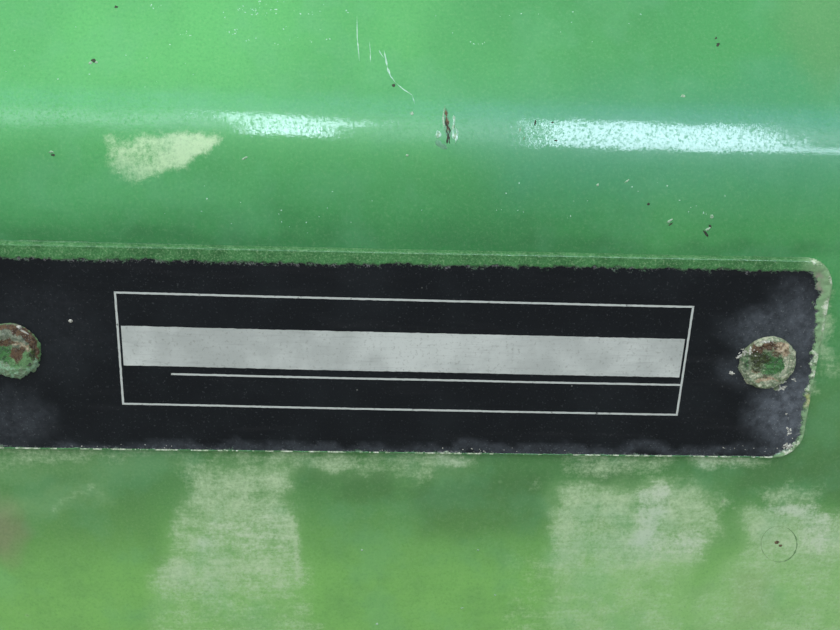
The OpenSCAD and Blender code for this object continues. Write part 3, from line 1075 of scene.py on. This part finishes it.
def make_film():
    """Film of paint that bridges the plate's edge and ends in a torn rim on its face."""
    cell, reach_out, reach_in = 0.16 * MM, 0.5 * MM, 3.9 * MM
    x0, x1 = PLATE_LOW.x - reach_out, PLATE_HIGH.x + reach_out
    z0, z1 = PLATE_LOW.z - reach_out, PLATE_HIGH.z + reach_out
    wide, tall = round((x1 - x0) / cell), round((z1 - z0) / cell)
    index, verts, cover, tones = {}, [], [], []
    for i in range(wide + 1):
        for j in range(tall + 1):
            x, z = x0 + i * cell, z0 + j * cell
            inside = plate_inside(x, z)
            if not -reach_out < inside < reach_in:
                continue
            height, field = film_height(x, z)
            index[i, j] = len(verts)
            verts.append(Vector((x, WEB_Y - height * MM, z)))
            cover.append(field)
            inside /= MM
            pixel = pixel_of(verts[-1])
            dash = smooth_step(-0.02, 0.12, fractal((x, 0, 0), 1.5, octaves=3, seed=9.0))
            across, up = plate_shares(x, z)
            lower, end = smooth_step(-0.80, -0.97, up), smooth_step(0.90, 0.965, across)
            worn = {tone: end * stain(stains, *pixel, reach=2, size=6)
                    for tone, stains in FILM_STAINS.items()}
            dashes = lower * (0.1 + 1.1 * dash) * smooth_step(-0.25, -0.1, inside)
            tones.append({
                **worn, "chalk": max(dashes, worn["chalk"]), "mint": end,
                "edge": smooth_step(0.7, 0.0, field),
                # Painted shade on the top bank, a painted highlight on the crest and painted light on the
                # lower bank
                "bank": smooth_step(0.0, -0.1, inside) * (1 - lower),
                "crest": smooth_step(0.13, 0.03, abs(inside)) * (1 - lower),
                "foot": lower * smooth_step(0.0, -0.12, inside),
            })
    keep = []
    for (i, j), first in index.items():
        corners = (first, index.get((i + 1, j)), index.get((i + 1, j + 1)), index.get((i, j + 1)))
        if None not in corners and max(cover[c] for c in corners) > -0.05:
            keep.append(corners)
    used = sorted({v for face in keep for v in face})
    order = {v: k for k, v in enumerate(used)}
    film = add_mesh("paint_film", [verts[v] for v in used], [tuple(order[v] for v in f) for f in keep],
                    paint_lip(), smooth_angle=180)
    for tone in tones[0]:
        set_attribute(film, tone, [tones[v][tone] for v in used])
    return place(film, "enamel")


# Rivets

HEAD_R = 4.2 * MM
HEAD_H = 1.4 * MM
BRIM_H = 0.3 * MM
DISH_R = 2.8 * MM
DISH_H = 0.7 * MM


def head_height(r):
    """Height of the rivet's head above the plate, at a distance from its axis."""
    rise = HEAD_H - BRIM_H
    dome = (HEAD_R ** 2 + rise ** 2) / (2 * rise)
    if r >= HEAD_R:
        return 0.0
    height = HEAD_H - dome + math.sqrt(dome ** 2 - r ** 2)
    if r < DISH_R:
        height -= DISH_H * (1 - (r / DISH_R) ** 2)
    return height


# Patches on the rivets' paint, in the columns of the stains
RIVET_PATCHES = {
    "right": {
        "grey": ((744, 366, 7, 13, 0.9, 0.4), (796, 362, 4, 14, 0.6, 0.5)),
        "green": ((776, 368, 12, 8, 1.0, 0.4), (745, 366, 6, 10, 0.5, 0.4), (763, 376, 12, 4, 0.6, 0.4),
                  (764, 361, 10, 7, 0.7, 0.4)),
        # The olive patches, and the rust at the bowl's upper left, are dark paint and rust that also carry
        # painted shade of the bowl's upper wall
        "olive_and_shade": ((760, 362, 9, 7, 0.9, 0.5), (757, 371, 6, 5, 0.6, 0.5), (770, 364, 6, 5, 0.4, 0.6)),
        "rust": ((765, 348, 13, 6, 1.0, 0.5), (757, 353, 6, 5, 0.9, 0.4), (776, 357, 5, 3, 0.6, 0.5),
                 (762, 379, 10, 2, 0.6, 0.5)),
        "tan": ((782, 350, 9, 6, 1.0, 0.4), (788, 358, 5, 6, 0.9, 0.4), (766, 383, 12, 2.5, 0.9, 0.4),
                (756, 375, 5, 3, 0.7, 0.5), (768, 344, 10, 2, 0.5, 0.5)),
        "chalk": ((770, 341, 14, 3.5, 0.8, 0.4), (760, 345, 8, 3, 0.7, 0.4), (793, 352, 4, 10, 0.9, 0.4),
                  (791, 366, 5, 9, 0.9, 0.4), (784, 377, 7, 4, 0.8, 0.4), (770, 387, 14, 3.5, 0.8, 0.4),
                  (748, 381, 9, 6, 0.8, 0.4), (742, 371, 4, 7, 0.8, 0.4), (786, 368, 2.5, 7, 0.9, 0.4),
                  (757, 378, 7, 2, 0.8, 0.4)),
    },
    "left": {
        "grey": ((12, 338, 20, 12, 0.9, 0.4), (22, 346, 10, 9, 0.9, 0.4)),
        "green": ((3, 357, 10, 9, 1.0, 0.3), (14, 368, 10, 5, 0.5, 0.5)),
        "olive_and_shade": ((32, 358, 4, 6, 0.8, 0.4), (29, 367, 3, 1.2, 0.9, 0.4)),
        "tan": ((13, 346, 6, 3, 0.7, 0.5), (24, 351, 6, 5, 0.6, 0.5), (25, 333, 8, 2.5, 0.8, 0.5)),
        "rust": ((17, 358, 6, 7, 1.1, 0.35), (22, 354, 4, 3, 0.9, 0.4), (18, 334, 8, 5, 1.1, 0.35),
                 (27, 339, 6, 6, 1.1, 0.35), (33, 347, 5, 9, 1.1, 0.35), (35, 357, 4, 8, 1.1, 0.35),
                 (5, 330, 14, 2.5, 1.0, 0.4), (3, 347, 6, 3, 1.0, 0.4), (9, 345, 6, 2.6, 1.0, 0.4)),
        # The chalk patch at (7, 370) is a painted highlight; the other chalk patches are crust
        "chalk": ((36, 367, 3.5, 5, 1.0, 0.4), (31, 373, 5, 4, 0.8, 0.4), (22, 379, 10, 4, 0.9, 0.4),
                  (9, 381, 9, 4, 1.0, 0.4), (0, 378, 6, 4, 1.0, 0.4), (7, 370, 4, 3, 1.0, 0.4),
                  (14, 376, 18, 6, 0.6, 0.5), (0, 368, 5, 5, 0.6, 0.5)),
    },
}


# How much lower the heads lie in the photograph than here, in pixels
HEAD_DROP_PX = 3


def make_rivet_paint(side, material, lumps, rim):
    """Lumpy paint over the rivet's head, a bowl with a crusted rim."""
    centre = RIVETS[side]
    skirt = 0.5 * MM
    crest_r, crest_w = 3.75 * MM, 0.5 * MM
    ring_step, count = 0.09 * MM, 200
    rings = span(0.0, HEAD_R + skirt * 1.6, ring_step)
    shift = 3.0 if side == "left" else 11.0
    finishes = RIVET_PATCHES[side]
    verts, values = [], {finish: [] for finish in finishes}
    for r in rings:
        for k in range(count if r else 1):
            turn = 2 * math.pi * k / count
            x, z = centre.x + r * math.cos(turn), centre.z + r * math.sin(turn)
            point = (x, 0, z)
            lump = fractal(point, 0.55, octaves=5, seed=shift)
            coarse = fractal(point, 2.2, octaves=2, seed=shift + 2)
            crest = math.exp(-((r - crest_r * (1 + 0.05 * coarse)) / crest_w) ** 2)
            over = r - HEAD_R
            reach = skirt * (1 - 0.6 * math.sin(turn)) * (0.5 + 0.9 * coarse + 0.5 * lump)
            bank = smooth_step(reach, -0.1 * MM, over) if over > 0 else 1
            height = max(head_height(r), BRIM_H * bank) + 0.07 * MM * bank
            height += (max(lump, -0.5) * lumps * (0.35 + crest) + 0.05 + rim * crest) * MM * bank
            height -= 0.10 * MM * (1 - bank)
            ground = PLATE_Y * bank + plate_front(x, z) * (1 - bank)
            spot = Vector((x, ground - height, z))
            verts.append(spot)
            px, py = pixel_of(spot)
            for finish, into in values.items():
                into.append(stain(finishes[finish], px, py + HEAD_DROP_PX, reach=2.5, size=6))
    head = add_mesh(f"rivet_paint_{side}", verts, disc_faces(len(rings) - 1, count), material,
                    smooth_angle=180)
    for finish, into in values.items():
        set_attribute(head, finish, into)
    return place(head, "rivet")


# Marks on the paint

# How far the borders of a mark go under the surface, in millimetres
SUNK = 0.01


def facing(out, at):
    """A surface's direction at a point, turned to the camera's side."""
    return out if out.dot(CAMERA_AT - at) >= 0 else -out


class Marks:
    """Small chips, flakes and scratches of one finish, gathered in one mesh that follows a surface."""

    def __init__(self, name, material, slot):
        self.name, self.material, self.slot = name, material, slot
        self.verts, self.faces = [], []

    def spot(self, surface, px, py):
        hit, out, _, _ = surface.ray_cast(CAMERA_AT, pixel_ray(px, py))
        return hit, facing(out, hit)

    def settle(self, surface, point, lift):
        near, out, _, _ = surface.find_nearest(point)
        self.verts.append(near + facing(out, near) * (lift * MM))

    def blob(self, surface, px, py, length, width, angle, rise, seed, rag=0.3, rings=4, count=22):
        """An uneven patch at a pixel, with sizes in millimetres and its angle from the horizontal."""
        hit, out = self.spot(surface, px, py)
        across = (RIGHT - out * RIGHT.dot(out)).normalized()
        up = out.cross(across)
        if up.dot(UP) < 0:
            up = -up
        turn = math.radians(angle)
        long_way = across * math.cos(turn) + up * math.sin(turn)
        short_way = up * math.cos(turn) - across * math.sin(turn)
        self.faces += disc_faces(rings, count, len(self.verts))
        self.settle(surface, hit, rise)
        for ring in range(1, rings + 1):
            share = ring / rings
            for k in range(count):
                around = 2 * math.pi * k / count
                c, s = math.cos(around), math.sin(around)
                ragged = noise.fractal(Vector((c * 1.3, s * 1.3, seed)), 1, 2, 3)
                reach = share * max(0.3, 1 + rag * ragged * 1.6) * 0.5 * MM
                spoke = long_way * c * length + short_way * s * width
                sunk = 2 * SUNK if ring == rings else 0
                self.settle(surface, hit + spoke * reach, rise * (1 - share ** 4) - sunk)

    def stroke(self, surface, pixels, width, rise, seed, rag=0.35):
        """A narrow mark that runs through pixels, with its greatest width in millimetres."""
        hits = [self.spot(surface, *pixel)[0] for pixel in pixels]
        fine = []
        for a, b in zip(hits, hits[1:]):
            steps = max(1, round((b - a).length / (0.25 * MM)))
            fine += [a.lerp(b, i / steps) for i in range(steps)]
        fine.append(hits[-1])
        last = len(fine) - 1
        self.faces += grid_faces(last + 1, 3, len(self.verts))
        for i, point in enumerate(fine):
            out = facing(surface.find_nearest(point)[1], point)
            ahead = fine[min(i + 1, last)] - fine[max(i - 1, 0)]
            side = ahead.cross(out).normalized()
            taper = min(1.0, 4 * min(i, last - i) / max(last, 1) + 0.12)
            half = width * taper * (1 + rag * noise.noise(Vector((i * 0.35, seed, 0))) * 2) / 2
            for share in (-1, 0, 1):
                at = point + side * share * max(half, 0.02) * MM
                self.settle(surface, at, rise if share == 0 else -SUNK)

    def finish(self):
        piece = add_mesh(self.name, self.verts, self.faces, self.material, smooth_angle=60)
        return place(piece, self.slot)


# Places in the photograph's frame: pixel x, pixel y, then length, width in millimetres, and angle
PALE_CHIPS = (
    (412, 113.5, 0.6, 0.5, 0), (407, 155.5, 0.5, 0.4, 0), (597.5, 185, 0.5, 0.4, 0),
    (711.9, 216.6, 0.6, 0.6, 0), (627, 181, 0.9, 0.25, 35), (669.4, 221.2, 1.1, 0.35, 40),
    (453.5, 127, 1.0, 0.4, 80), (455, 136, 0.9, 0.5, 70), (438.5, 135, 1.0, 0.5, 60),
    (51, 152, 0.7, 0.4, 0), (90.4, 63, 0.6, 0.5, 0), (96.2, 62.4, 0.5, 0.4, 0), (69, 257.5, 0.9, 0.6, 10),
    (454, 118, 0.6, 0.35, 80), (708, 229, 0.8, 0.4, 30), (520, 130, 0.6, 0.2, 85),
    (524, 138, 0.5, 0.2, 80), (245, 158, 0.9, 0.3, 30), (377, 624, 0.5, 0.4, 0), (495, 595, 0.4, 0.35, 0),
    (478, 550, 0.45, 0.4, 0), (362, 550, 0.4, 0.35, 0), (462, 608, 0.6, 0.2, 10), (683, 96, 0.7, 0.5, 0),
)
FACE_FLAKES = (
    (742, 356, 1.0, 0.6, 10), (732, 373.5, 0.7, 0.5, -20), (782, 388, 0.9, 0.5, 10),
    (71, 321, 0.8, 0.4, 10), (789, 447, 0.7, 0.4, 20),
)
DARK_CHIPS = (
    (393.7, 85.5, 0.6, 0.5, 0), (648.7, 204, 0.5, 0.4, 0), (718, 45, 0.8, 0.5, 70),
    (716, 38, 0.5, 0.35, 60), (116, 7, 0.6, 0.5, 0), (535, 123, 0.9, 0.3, 85), (552.5, 122.5, 0.4, 0.3, 0),
    (556, 140.5, 0.5, 0.3, 0), (93.5, 60.5, 0.8, 0.6, -30), (706, 233.8, 1.5, 0.45, -50),
    (53, 155, 0.7, 0.35, 0), (710, 226, 0.6, 0.4, -40), (671, 224, 0.8, 0.25, 35),
)


# Heaps of crumbs: pixel x, pixel y, half width and half height of the heap in pixels, how many
FACE_CRUMBS = (
    (779, 388, 6, 3, 20), (795, 380, 3, 2, 5), (731, 373, 2, 2, 5), (739, 356, 3, 4, 8),
    (788, 446, 6, 4, 26), (790, 432, 3, 6, 12), (785, 414, 2, 1, 3),
)
RIM_CRUMBS = ((743, 351, 4, 4, 16), (750, 352, 5, 4, 16), (786, 382, 5, 3, 8), (765, 342, 12, 2, 14))
SKIN_SPECKS = (
    (262, 9, 36, 8, 34), (187, 34, 5, 3, 7), (234, 33, 8, 5, 9), (286, 28, 2, 3, 3), (154, 6, 8, 4, 6),
    (300, 40, 60, 10, 12), (478, 44, 10, 2, 6), (325, 12, 30, 8, 8), (560, 20, 200, 20, 12),
    (700, 212, 12, 8, 5), (90, 62, 200, 40, 14), (300, 210, 200, 30, 20), (620, 200, 160, 30, 16),
)
PLATE_SPECKS = ((120, 447, 90, 3, 14), (480, 450, 120, 3, 16), (750, 448, 50, 4, 12), (480, 452, 14, 3, 10))


# Marks of each finish: piece, material, light and dark colour, mottle in millimetres, roughness, slot
MARK_FINISHES = {
    "pale": ("pale_flakes", "pale_flake", (178, 212, 184), (120, 170, 126), 0.4, 0.6, "enamel"),
    "flakes": ("plate_flakes", "plate_flake", (224, 228, 220), (150, 150, 140), 0.3, 0.6, "plate"),
    "dark": ("dark_chips", "dark_chip", (64, 76, 54), (34, 40, 30), 0.4, 0.85, "enamel"),
    # The shade finish is painted shadow: the green shadow in the gash
    "shade": ("painted_gash_shadow", "painted_shadow_finish", (70, 148, 88), (54, 126, 70), 0.8, 0.4, "enamel"),
    "tan": ("rust_specks", "rust_speck", (122, 104, 72), (58, 56, 40), 0.35, 0.85, "enamel"),
    "bright": ("gash_flakes", "gash_flake", (206, 246, 228), (150, 210, 184), 0.3, 0.3, "enamel"),
    "pressed": ("pressed_ring", "ring", (104, 148, 94), (132, 174, 122), 0.8, 0.5, "enamel"),
}

# The gash on the bend, dark slits between pale, lifted flakes over a painted green shadow, then the scratched
# lines:
# finish, pixels that it runs through, greatest width and rise in millimetres, seed, raggedness
STROKES = (
    ("shade", ((436, 140), (440, 145), (447, 149)), 1.3, 0.02, 3.0, 0.35),
    ("shade", ((446.2, 108), (446.8, 118), (448, 130), (449, 142)), 1.1, 0.02, 3.5, 0.35),
    ("tan", ((446, 110), (446.6, 118), (447.6, 127), (448, 133)), 0.55, 0.04, 1.0, 0.8),
    ("dark", ((446.4, 117), (445.8, 122), (447.6, 127), (446.4, 131), (448, 135)), 0.34, 0.06, 2.0, 0.8),
    ("dark", ((448.4, 126), (450, 131), (448.2, 135), (447.2, 141), (447, 144)), 0.34, 0.06, 3.0, 0.8),
    ("dark", ((448.2, 134), (449, 139), (449.8, 144)), 0.34, 0.06, 4.0, 0.8),
    ("bright", ((453.6, 115), (454.2, 121), (453.4, 127), (454, 135)), 0.36, 0.10, 5.0, 0.8),
    ("bright", ((455.6, 127), (457.4, 133), (456.2, 139), (455.2, 143)), 0.36, 0.10, 6.0, 0.8),
    ("bright", ((452.6, 129), (453.4, 134), (453, 139)), 0.36, 0.10, 7.0, 0.8),
    ("bright", ((436, 138), (437.6, 131), (440.6, 134), (437.4, 138)), 0.36, 0.10, 8.0, 0.8),
    ("pale", ((445.4, 105), (443.6, 112), (443.2, 119), (444, 126), (444.6, 132)), 0.26, 0.06, 4.0, 0.7),
    ("bright", ((384, 50), (385.6, 58), (387.5, 68), (390.5, 76), (395.4, 82.4)), 0.26, 0.03, 8.0, 0.7),
    ("bright", ((395.4, 82.4), (403, 89), (412, 95), (415, 104)), 0.14, 0.03, 9.0, 0.7),
    ("bright", ((357, 16), (357.2, 38), (359.5, 61)), 0.15, 0.03, 10.0, 0.7),
    ("bright", ((369.5, 42), (370.5, 53), (370.5, 62)), 0.12, 0.03, 11.0, 0.7),
    ("bright", ((379, 50), (381, 54), (384, 58)), 0.14, 0.03, 12.0, 0.7),
)

# The ring that something pressed into the paint: middle and radius in pixels
RING_X, RING_Y, RING_R = 779, 544, 18


def make_marks(rail, plate, heads):
    """Chips, flakes, scratched lines, the gash and its painted shadow, where the photograph has them."""
    skin, face = surface_of(rail), surface_of(plate)
    head, left_head = surface_of(heads["right"]), surface_of(heads["left"])
    marks = {key: Marks(piece, flat_mark(finish, srgb(*light), srgb(*dark), size, rough), slot)
             for key, (piece, finish, light, dark, size, rough, slot) in MARK_FINISHES.items()}

    for key, surface, chips, rise, seed_step, rag in (
            ("pale", skin, PALE_CHIPS, 0.08, 1.7, 0.3), ("flakes", face, FACE_FLAKES, 0.16, 1.9, 0.55),
            ("dark", skin, DARK_CHIPS, 0.03, 2.3, 0.3)):
        for number, chip in enumerate(chips):
            marks[key].blob(surface, *chip, rise, number * seed_step, rag)
    # A painted highlight on the left head, made as a white flake; the stroke after it is a strip of pale
    # flakes
    marks["flakes"].blob(left_head, 19, 327, 0.8, 0.7, 0, 0.2, 3.0)
    marks["flakes"].stroke(left_head, ((19, 329.5), (24, 331.5), (29, 334.5)), 0.3, 0.12, 9.0)

    rng = random.Random(23)
    for key, surface, heaps, largest, rise in (
            ("flakes", face, FACE_CRUMBS, 0.55, 0.12), ("flakes", head, RIM_CRUMBS, 0.5, 0.12),
            ("flakes", face, PLATE_SPECKS, 0.22, 0.12), ("bright", skin, SKIN_SPECKS, 0.32, 0.03)):
        for px, py, half_w, half_h, count in heaps:
            for _ in range(count):
                at = (rng.gauss(px, half_w * 0.5), rng.gauss(py, half_h * 0.5))
                size = largest * rng.uniform(0.35, 1.0)
                angle, seed = rng.uniform(0, 180), rng.uniform(0, 50)
                if surface.ray_cast(CAMERA_AT, pixel_ray(*at))[0]:
                    marks[key].blob(surface, *at, size, size * 0.7, angle, rise, seed, 0.6, rings=2, count=9)

    for key, pixels, width, rise, seed, rag in STROKES:
        marks[key].stroke(skin, pixels, width, rise, seed, rag)
    for first, last, width in ((-70, 110, 0.36), (105, 295, 0.14)):
        turns = [math.radians(angle) for angle in range(first, last + 1, 12)]
        arc = [(RING_X + RING_R * math.cos(a), RING_Y + RING_R * math.sin(a)) for a in turns]
        marks["pressed"].stroke(skin, arc, width, 0.015, 7.0, 0.5)
    marks["tan"].blob(skin, RING_X - 2, RING_Y - 1.5, 0.9, 0.7, 0, 0.03, 41.0)
    marks["tan"].blob(skin, RING_X + 1.5, RING_Y + 1.5, 0.6, 0.6, 0, 0.03, 43.0)
    marks["flakes"].blob(skin, 716, 260, 1.5, 0.7, -8, 0.85, 12.0)
    for gathered in marks.values():
        gathered.finish()


# Welds

# The weld beads' mesh: steps along a bead and round its face, and the distance between ripples
WELD_STEP = 0.22 * MM
WELD_SIDES = 10
WELD_PITCH = 1.7 * MM


def weld_places():
    """Where the left end's beads lie: start, direction, length, outward side, x, and side in x."""
    rib_low, rib_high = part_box("rib_left")
    places = []
    for start, length, at, heading, _ in FLATS:
        ahead, out = heading_vector(heading), heading_vector(heading + 90)
        first, last = WELD_GAP, length - WELD_GAP
        places.append((at + ahead * first, ahead, last - first, out, RAIL_LOW.x, 1))
        if at.y > RAIL_LOW.y + RAIL_D - 1 * MM:
            first = RAIL_D - (rib_high.y - RAIL_LOW.y) + WELD_GAP
        if abs(heading) < 1:
            last = rib_high.y - at.y - WELD_GAP
        places.append((at + ahead * first - out * WALL, ahead, last - first, -out, rib_low.x, -1))
    return places


def make_weld(side, material):
    """Rippled fillet welds: outside at the end plate and inside at the rib, on every flat."""
    mirror = side == "right"
    verts, faces, toe = [], [], []
    rng = random.Random(17 if mirror else 5)
    for begin, ahead, run, out, x, away in weld_places():
        start = len(verts)
        count = round(run / WELD_STEP)
        drift = rng.random()
        for i in range(count + 1):
            along = run * i / count
            blunt = min(1.0, min(along, run - along) / WELD_LEG * 1.6)
            end = 0.12 + 0.88 * math.sqrt(1 - (1 - blunt) ** 2)
            wander_by = noise.noise(Vector((along * 260, x * 40, drift * 9)))
            leg = WELD_LEG * (0.98 + 0.05 * wander_by) * end
            for k in range(WELD_SIDES + 1):
                t = math.pi / 2 * k / WELD_SIDES
                middle = math.sin(2 * t)
                wave = (along + 0.9 * MM * middle) / WELD_PITCH + drift + 0.3 * wander_by
                ripple = 1 - (wave % 1.0) ** 2
                reach = leg / (math.sin(t) + math.cos(t)) * (1 + (0.02 + 0.09 * ripple) * middle * end)
                across = out * (reach * math.sin(t)) + Vector((away * reach * math.cos(t), 0, 0))
                verts.append(begin + ahead * along + across + Vector((x, 0, 0)))
                toe.append(1 - smooth_step(0.0, 0.5, middle))
            verts.append(Vector((x, 0, 0)) + begin + ahead * along - out * 0.3 * MM)
            toe.append(1.0)
        wide = WELD_SIDES + 2
        faces += grid_faces(count + 1, wide, start, closed=True)
        faces.append(tuple(range(start, start + wide)))
        faces.append(tuple(start + count * wide + k for k in range(wide - 1, -1, -1)))
    if mirror:
        verts = [Vector((MEMBER_LOW.x + MEMBER_HIGH.x - v.x, v.y, v.z)) for v in verts]
    bead = add_mesh(f"weld_beads_{side}", verts, faces, material, smooth_angle=50)
    set_attribute(bead, "toe", toe)
    return place(bead, "enamel", f"weld_{side}")


# What stays as the CAD has it

def dress(node, material, bevel=0.0):
    """Gives a CAD node its material, and softens its edges if asked."""
    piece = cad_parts[node]
    if bevel:
        soften = piece.modifiers.new("soft_edges", "BEVEL")
        soften.width = bevel
        soften.segments = 2
        soften.limit_method = "ANGLE"
        soften.angle_limit = math.radians(40)
    if not piece.material_slots:
        piece.data.materials.append(None)
    for held in piece.material_slots:
        held.link = "OBJECT"
        held.material = material


# Studio

BACKDROP = (0.80, 0.81, 0.81, 1)
SKY = (0.93, 0.97, 1.0, 1)
SKY_STRENGTH = 0.42
KEY_ELEVATION = 66
KEY_AWAY = 1.3
FLOOR_HALF = 3.0
FLOOR_BLEND = (0.5, 1.7)

# Bright openings mirrored in the bend above the plate: left and right ends from the plate's middle,
# elevation and height in degrees, brightness and colour
COOL, BLUE = (0.66, 0.80, 1.0), (0.18, 0.46, 1.0)
OPENING_AWAY = 0.6
STREAKS = {
    "streak_right": (0.112, 0.258, 36.5, 14.6, 26, COOL),
    "streak_right_tail": (0.300, 0.400, 30.4, 1.8, 28, COOL),
    "streak_left_start": (-0.108, -0.083, 41.0, 4.6, 20, COOL),
    "streak_left": (-0.083, -0.052, 36.6, 9.4, 24, COOL),
    "streak_left_low": (-0.066, -0.040, 33.6, 4.4, 24, COOL),
    "streak_left_end": (-0.052, -0.030, 38.7, 4.5, 22, COOL),
    "streak_left_tail": (-0.030, -0.006, 39.1, 1.8, 24, COOL),
}
MISTS = {
    "mist_left": (-0.42, -0.03, 38.0, 15.0, 5.6, COOL),
    "mist_right": (-0.03, 0.46, 37.0, 20.0, 3.2, COOL),
    "haze": (-0.42, 0.46, 48.0, 22.0, 2.4, BLUE),
}
MIST_BANDS = 7

# The wedge that the right streak ends in: its two ends, then its low and high elevation
WEDGE_FROM, WEDGE_TO = 0.258, 0.300
WEDGE_LOW, WEDGE_HIGH = 29.4, 43.0
WEDGE_STEPS = 6


def bend_openings():
    """All the openings: the streaks, the mists in bands that fade out, and the wedge in steps."""
    openings = dict(STREAKS)
    for name, (left, right, elevation, tall, peak, colour) in MISTS.items():
        for i in range(MIST_BANDS):
            offset = (i + 0.5) / MIST_BANDS - 0.5
            openings[f"{name}_{i}"] = (left, right, elevation + offset * tall, tall / MIST_BANDS,
                                       peak * math.cos(math.pi * offset) ** 2, colour)
    wide = (WEDGE_TO - WEDGE_FROM) / WEDGE_STEPS
    for i in range(WEDGE_STEPS):
        left, tall = WEDGE_FROM + wide * i, (WEDGE_HIGH - WEDGE_LOW) * (1 - (i + 0.5) / WEDGE_STEPS)
        openings[f"streak_right_wedge_{i}"] = (left, left + wide, WEDGE_LOW + tall / 2, tall, 24, COOL)
    return openings


def lamp(name, at, aim, size_x, size_y, radiance, colour=(1, 1, 1), diffuse=True):
    """A soft box that looks from one point at another, with its brightness as radiance."""
    data = bpy.data.lights.new(name, "AREA")
    data.shape = "RECTANGLE"
    data.size, data.size_y = size_x, size_y
    data.energy = radiance * math.pi * size_x * size_y
    data.color = colour
    light = bpy.data.objects.new(name, data)
    light.location = at
    light.rotation_euler = (aim - at).to_track_quat("-Z", "Y").to_euler()
    light.visible_diffuse = diffuse
    bpy.context.scene.collection.objects.link(light)
    return light


def make_lights():
    """A high key lamp that isn't mirrored, a rear one, and the openings before the bend."""
    middle = PLATE_MID.copy()
    steep = math.radians(KEY_ELEVATION)
    key_at = middle + Vector((0, -math.cos(steep), math.sin(steep))) * KEY_AWAY - Vector((0.4, 0, 0))
    lamp("key", key_at, middle, 1.8, 1.6, 2.2, (1.0, 1.0, 0.98)).visible_glossy = False
    lamp("rear", middle + Vector((0.2, 1.4, 0.9)), middle, 1.2, 1.0, 1.6)
    bend, _ = on_rail(WEB_START + WEB_H + 0.4 * (SHOULDER_START - WEB_START - WEB_H))
    for name, (left, right, elevation, tall, radiance, colour) in bend_openings().items():
        lift = math.radians(elevation)
        aim = Vector((middle.x + (left + right) / 2, bend.y, bend.z))
        at = aim + Vector((0, -math.cos(lift), math.sin(lift))) * OPENING_AWAY
        height = 2 * OPENING_AWAY * math.tan(math.radians(tall / 2))
        lamp(name, at, aim, right - left, height, radiance, colour, diffuse=False)


def backdrop_seen(tree):
    """1 for rays from the camera and for mirrored or transmitted ones, 0 for soft light."""
    path = tree.nodes.new("ShaderNodeLightPath")
    seen = path.outputs["Is Camera Ray"]
    for kind in ("Is Glossy Ray", "Is Transmission Ray"):
        either = tree.nodes.new("ShaderNodeMath")
        either.operation = "MAXIMUM"
        tree.links.new(seen, either.inputs[0])
        tree.links.new(path.outputs[kind], either.inputs[1])
        seen = either.outputs["Value"]
    return seen


def make_world():
    """Soft light all round, and a pale backdrop for what looks straight at it or mirrors it."""
    world = bpy.data.worlds.new("studio")
    bpy.context.scene.world = world
    world.use_nodes = True
    tree = world.node_tree
    choose = tree.nodes.new("ShaderNodeMixShader")
    tree.links.new(backdrop_seen(tree), choose.inputs[0])
    for place_in, ground, colour, strength in (
            (1, tree.nodes["Background"], SKY, SKY_STRENGTH),
            (2, tree.nodes.new("ShaderNodeBackground"), BACKDROP, 1.0)):
        ground.inputs["Color"].default_value = colour
        ground.inputs["Strength"].default_value = strength
        tree.links.new(ground.outputs["Background"], choose.inputs[place_in])
    tree.links.new(choose.outputs["Shader"], tree.nodes["World Output"].inputs["Surface"])


def make_floor():
    """A pale floor that turns into the backdrop some way from the part."""
    middle = (MEMBER_LOW + MEMBER_HIGH) / 2
    centre = Vector((middle.x, middle.y, MEMBER_LOW.z))
    corners = [centre + Vector((sx * FLOOR_HALF, sy * FLOOR_HALF, 0))
               for sx, sy in ((-1, -1), (1, -1), (1, 1), (-1, 1))]
    s = Shader("studio_floor")
    pale = s.mix(s.noise(60, detail=3), srgb(194, 195, 193), srgb(200, 201, 199))
    seen = backdrop_seen(s.tree)
    gap = s.build("ShaderNodeVectorMath", "Value", {0: s.place, 1: centre}, operation="DISTANCE")
    far = s.times(seen, s.step(gap, *FLOOR_BLEND))
    s.set("Base Color", s.mix(far, s.mix(seen, srgb(150, 150, 146), pale), srgb(0, 0, 0)))
    s.set("Emission Color", BACKDROP)
    s.set("Emission Strength", far)
    s.set("Roughness", 0.85)
    s.set("Specular IOR Level", 0.2)
    add_mesh("floor", corners, [(0, 1, 2, 3)], s.material)


# The scene

bpy.context.scene.view_settings.view_transform = "Standard"
make_camera()
rail = make_rail()
plate = make_plate()
make_rules()
make_film()
cream_paint = rivet_paint("rivet_paint_cream", RIM_GREY, RIM_DARK, srgb(216, 222, 196))
green_paint = rivet_paint("rivet_paint_green", DOME_GREEN, DOME_DARK, srgb(164, 212, 176))
heads = {"right": make_rivet_paint("right", cream_paint, 0.34, 0.28),
         "left": make_rivet_paint("left", green_paint, 0.2, 0.08)}
make_marks(rail, plate, heads)

weld_enamel = weld_paint()
end_enamel = enamel("end_enamel", wear=0.7, ends=True)
rib_enamel = enamel("rib_enamel", wear=0.7)
rivet_alloy = rivet_paint("rivet_alloy", RIM_GREY, RIM_DARK, SILVER)
steel = bare_steel()
for side in ("left", "right"):
    make_weld(side, weld_enamel)
    dress(f"end_plate_{side}", end_enamel, 0.8 * MM)
    dress(f"rib_{side}", rib_enamel, 0.5 * MM)
    dress(f"rivet_{side}", rivet_alloy)
    dress(f"mandrel_{side}", steel)

make_world()
make_lights()
make_floor()
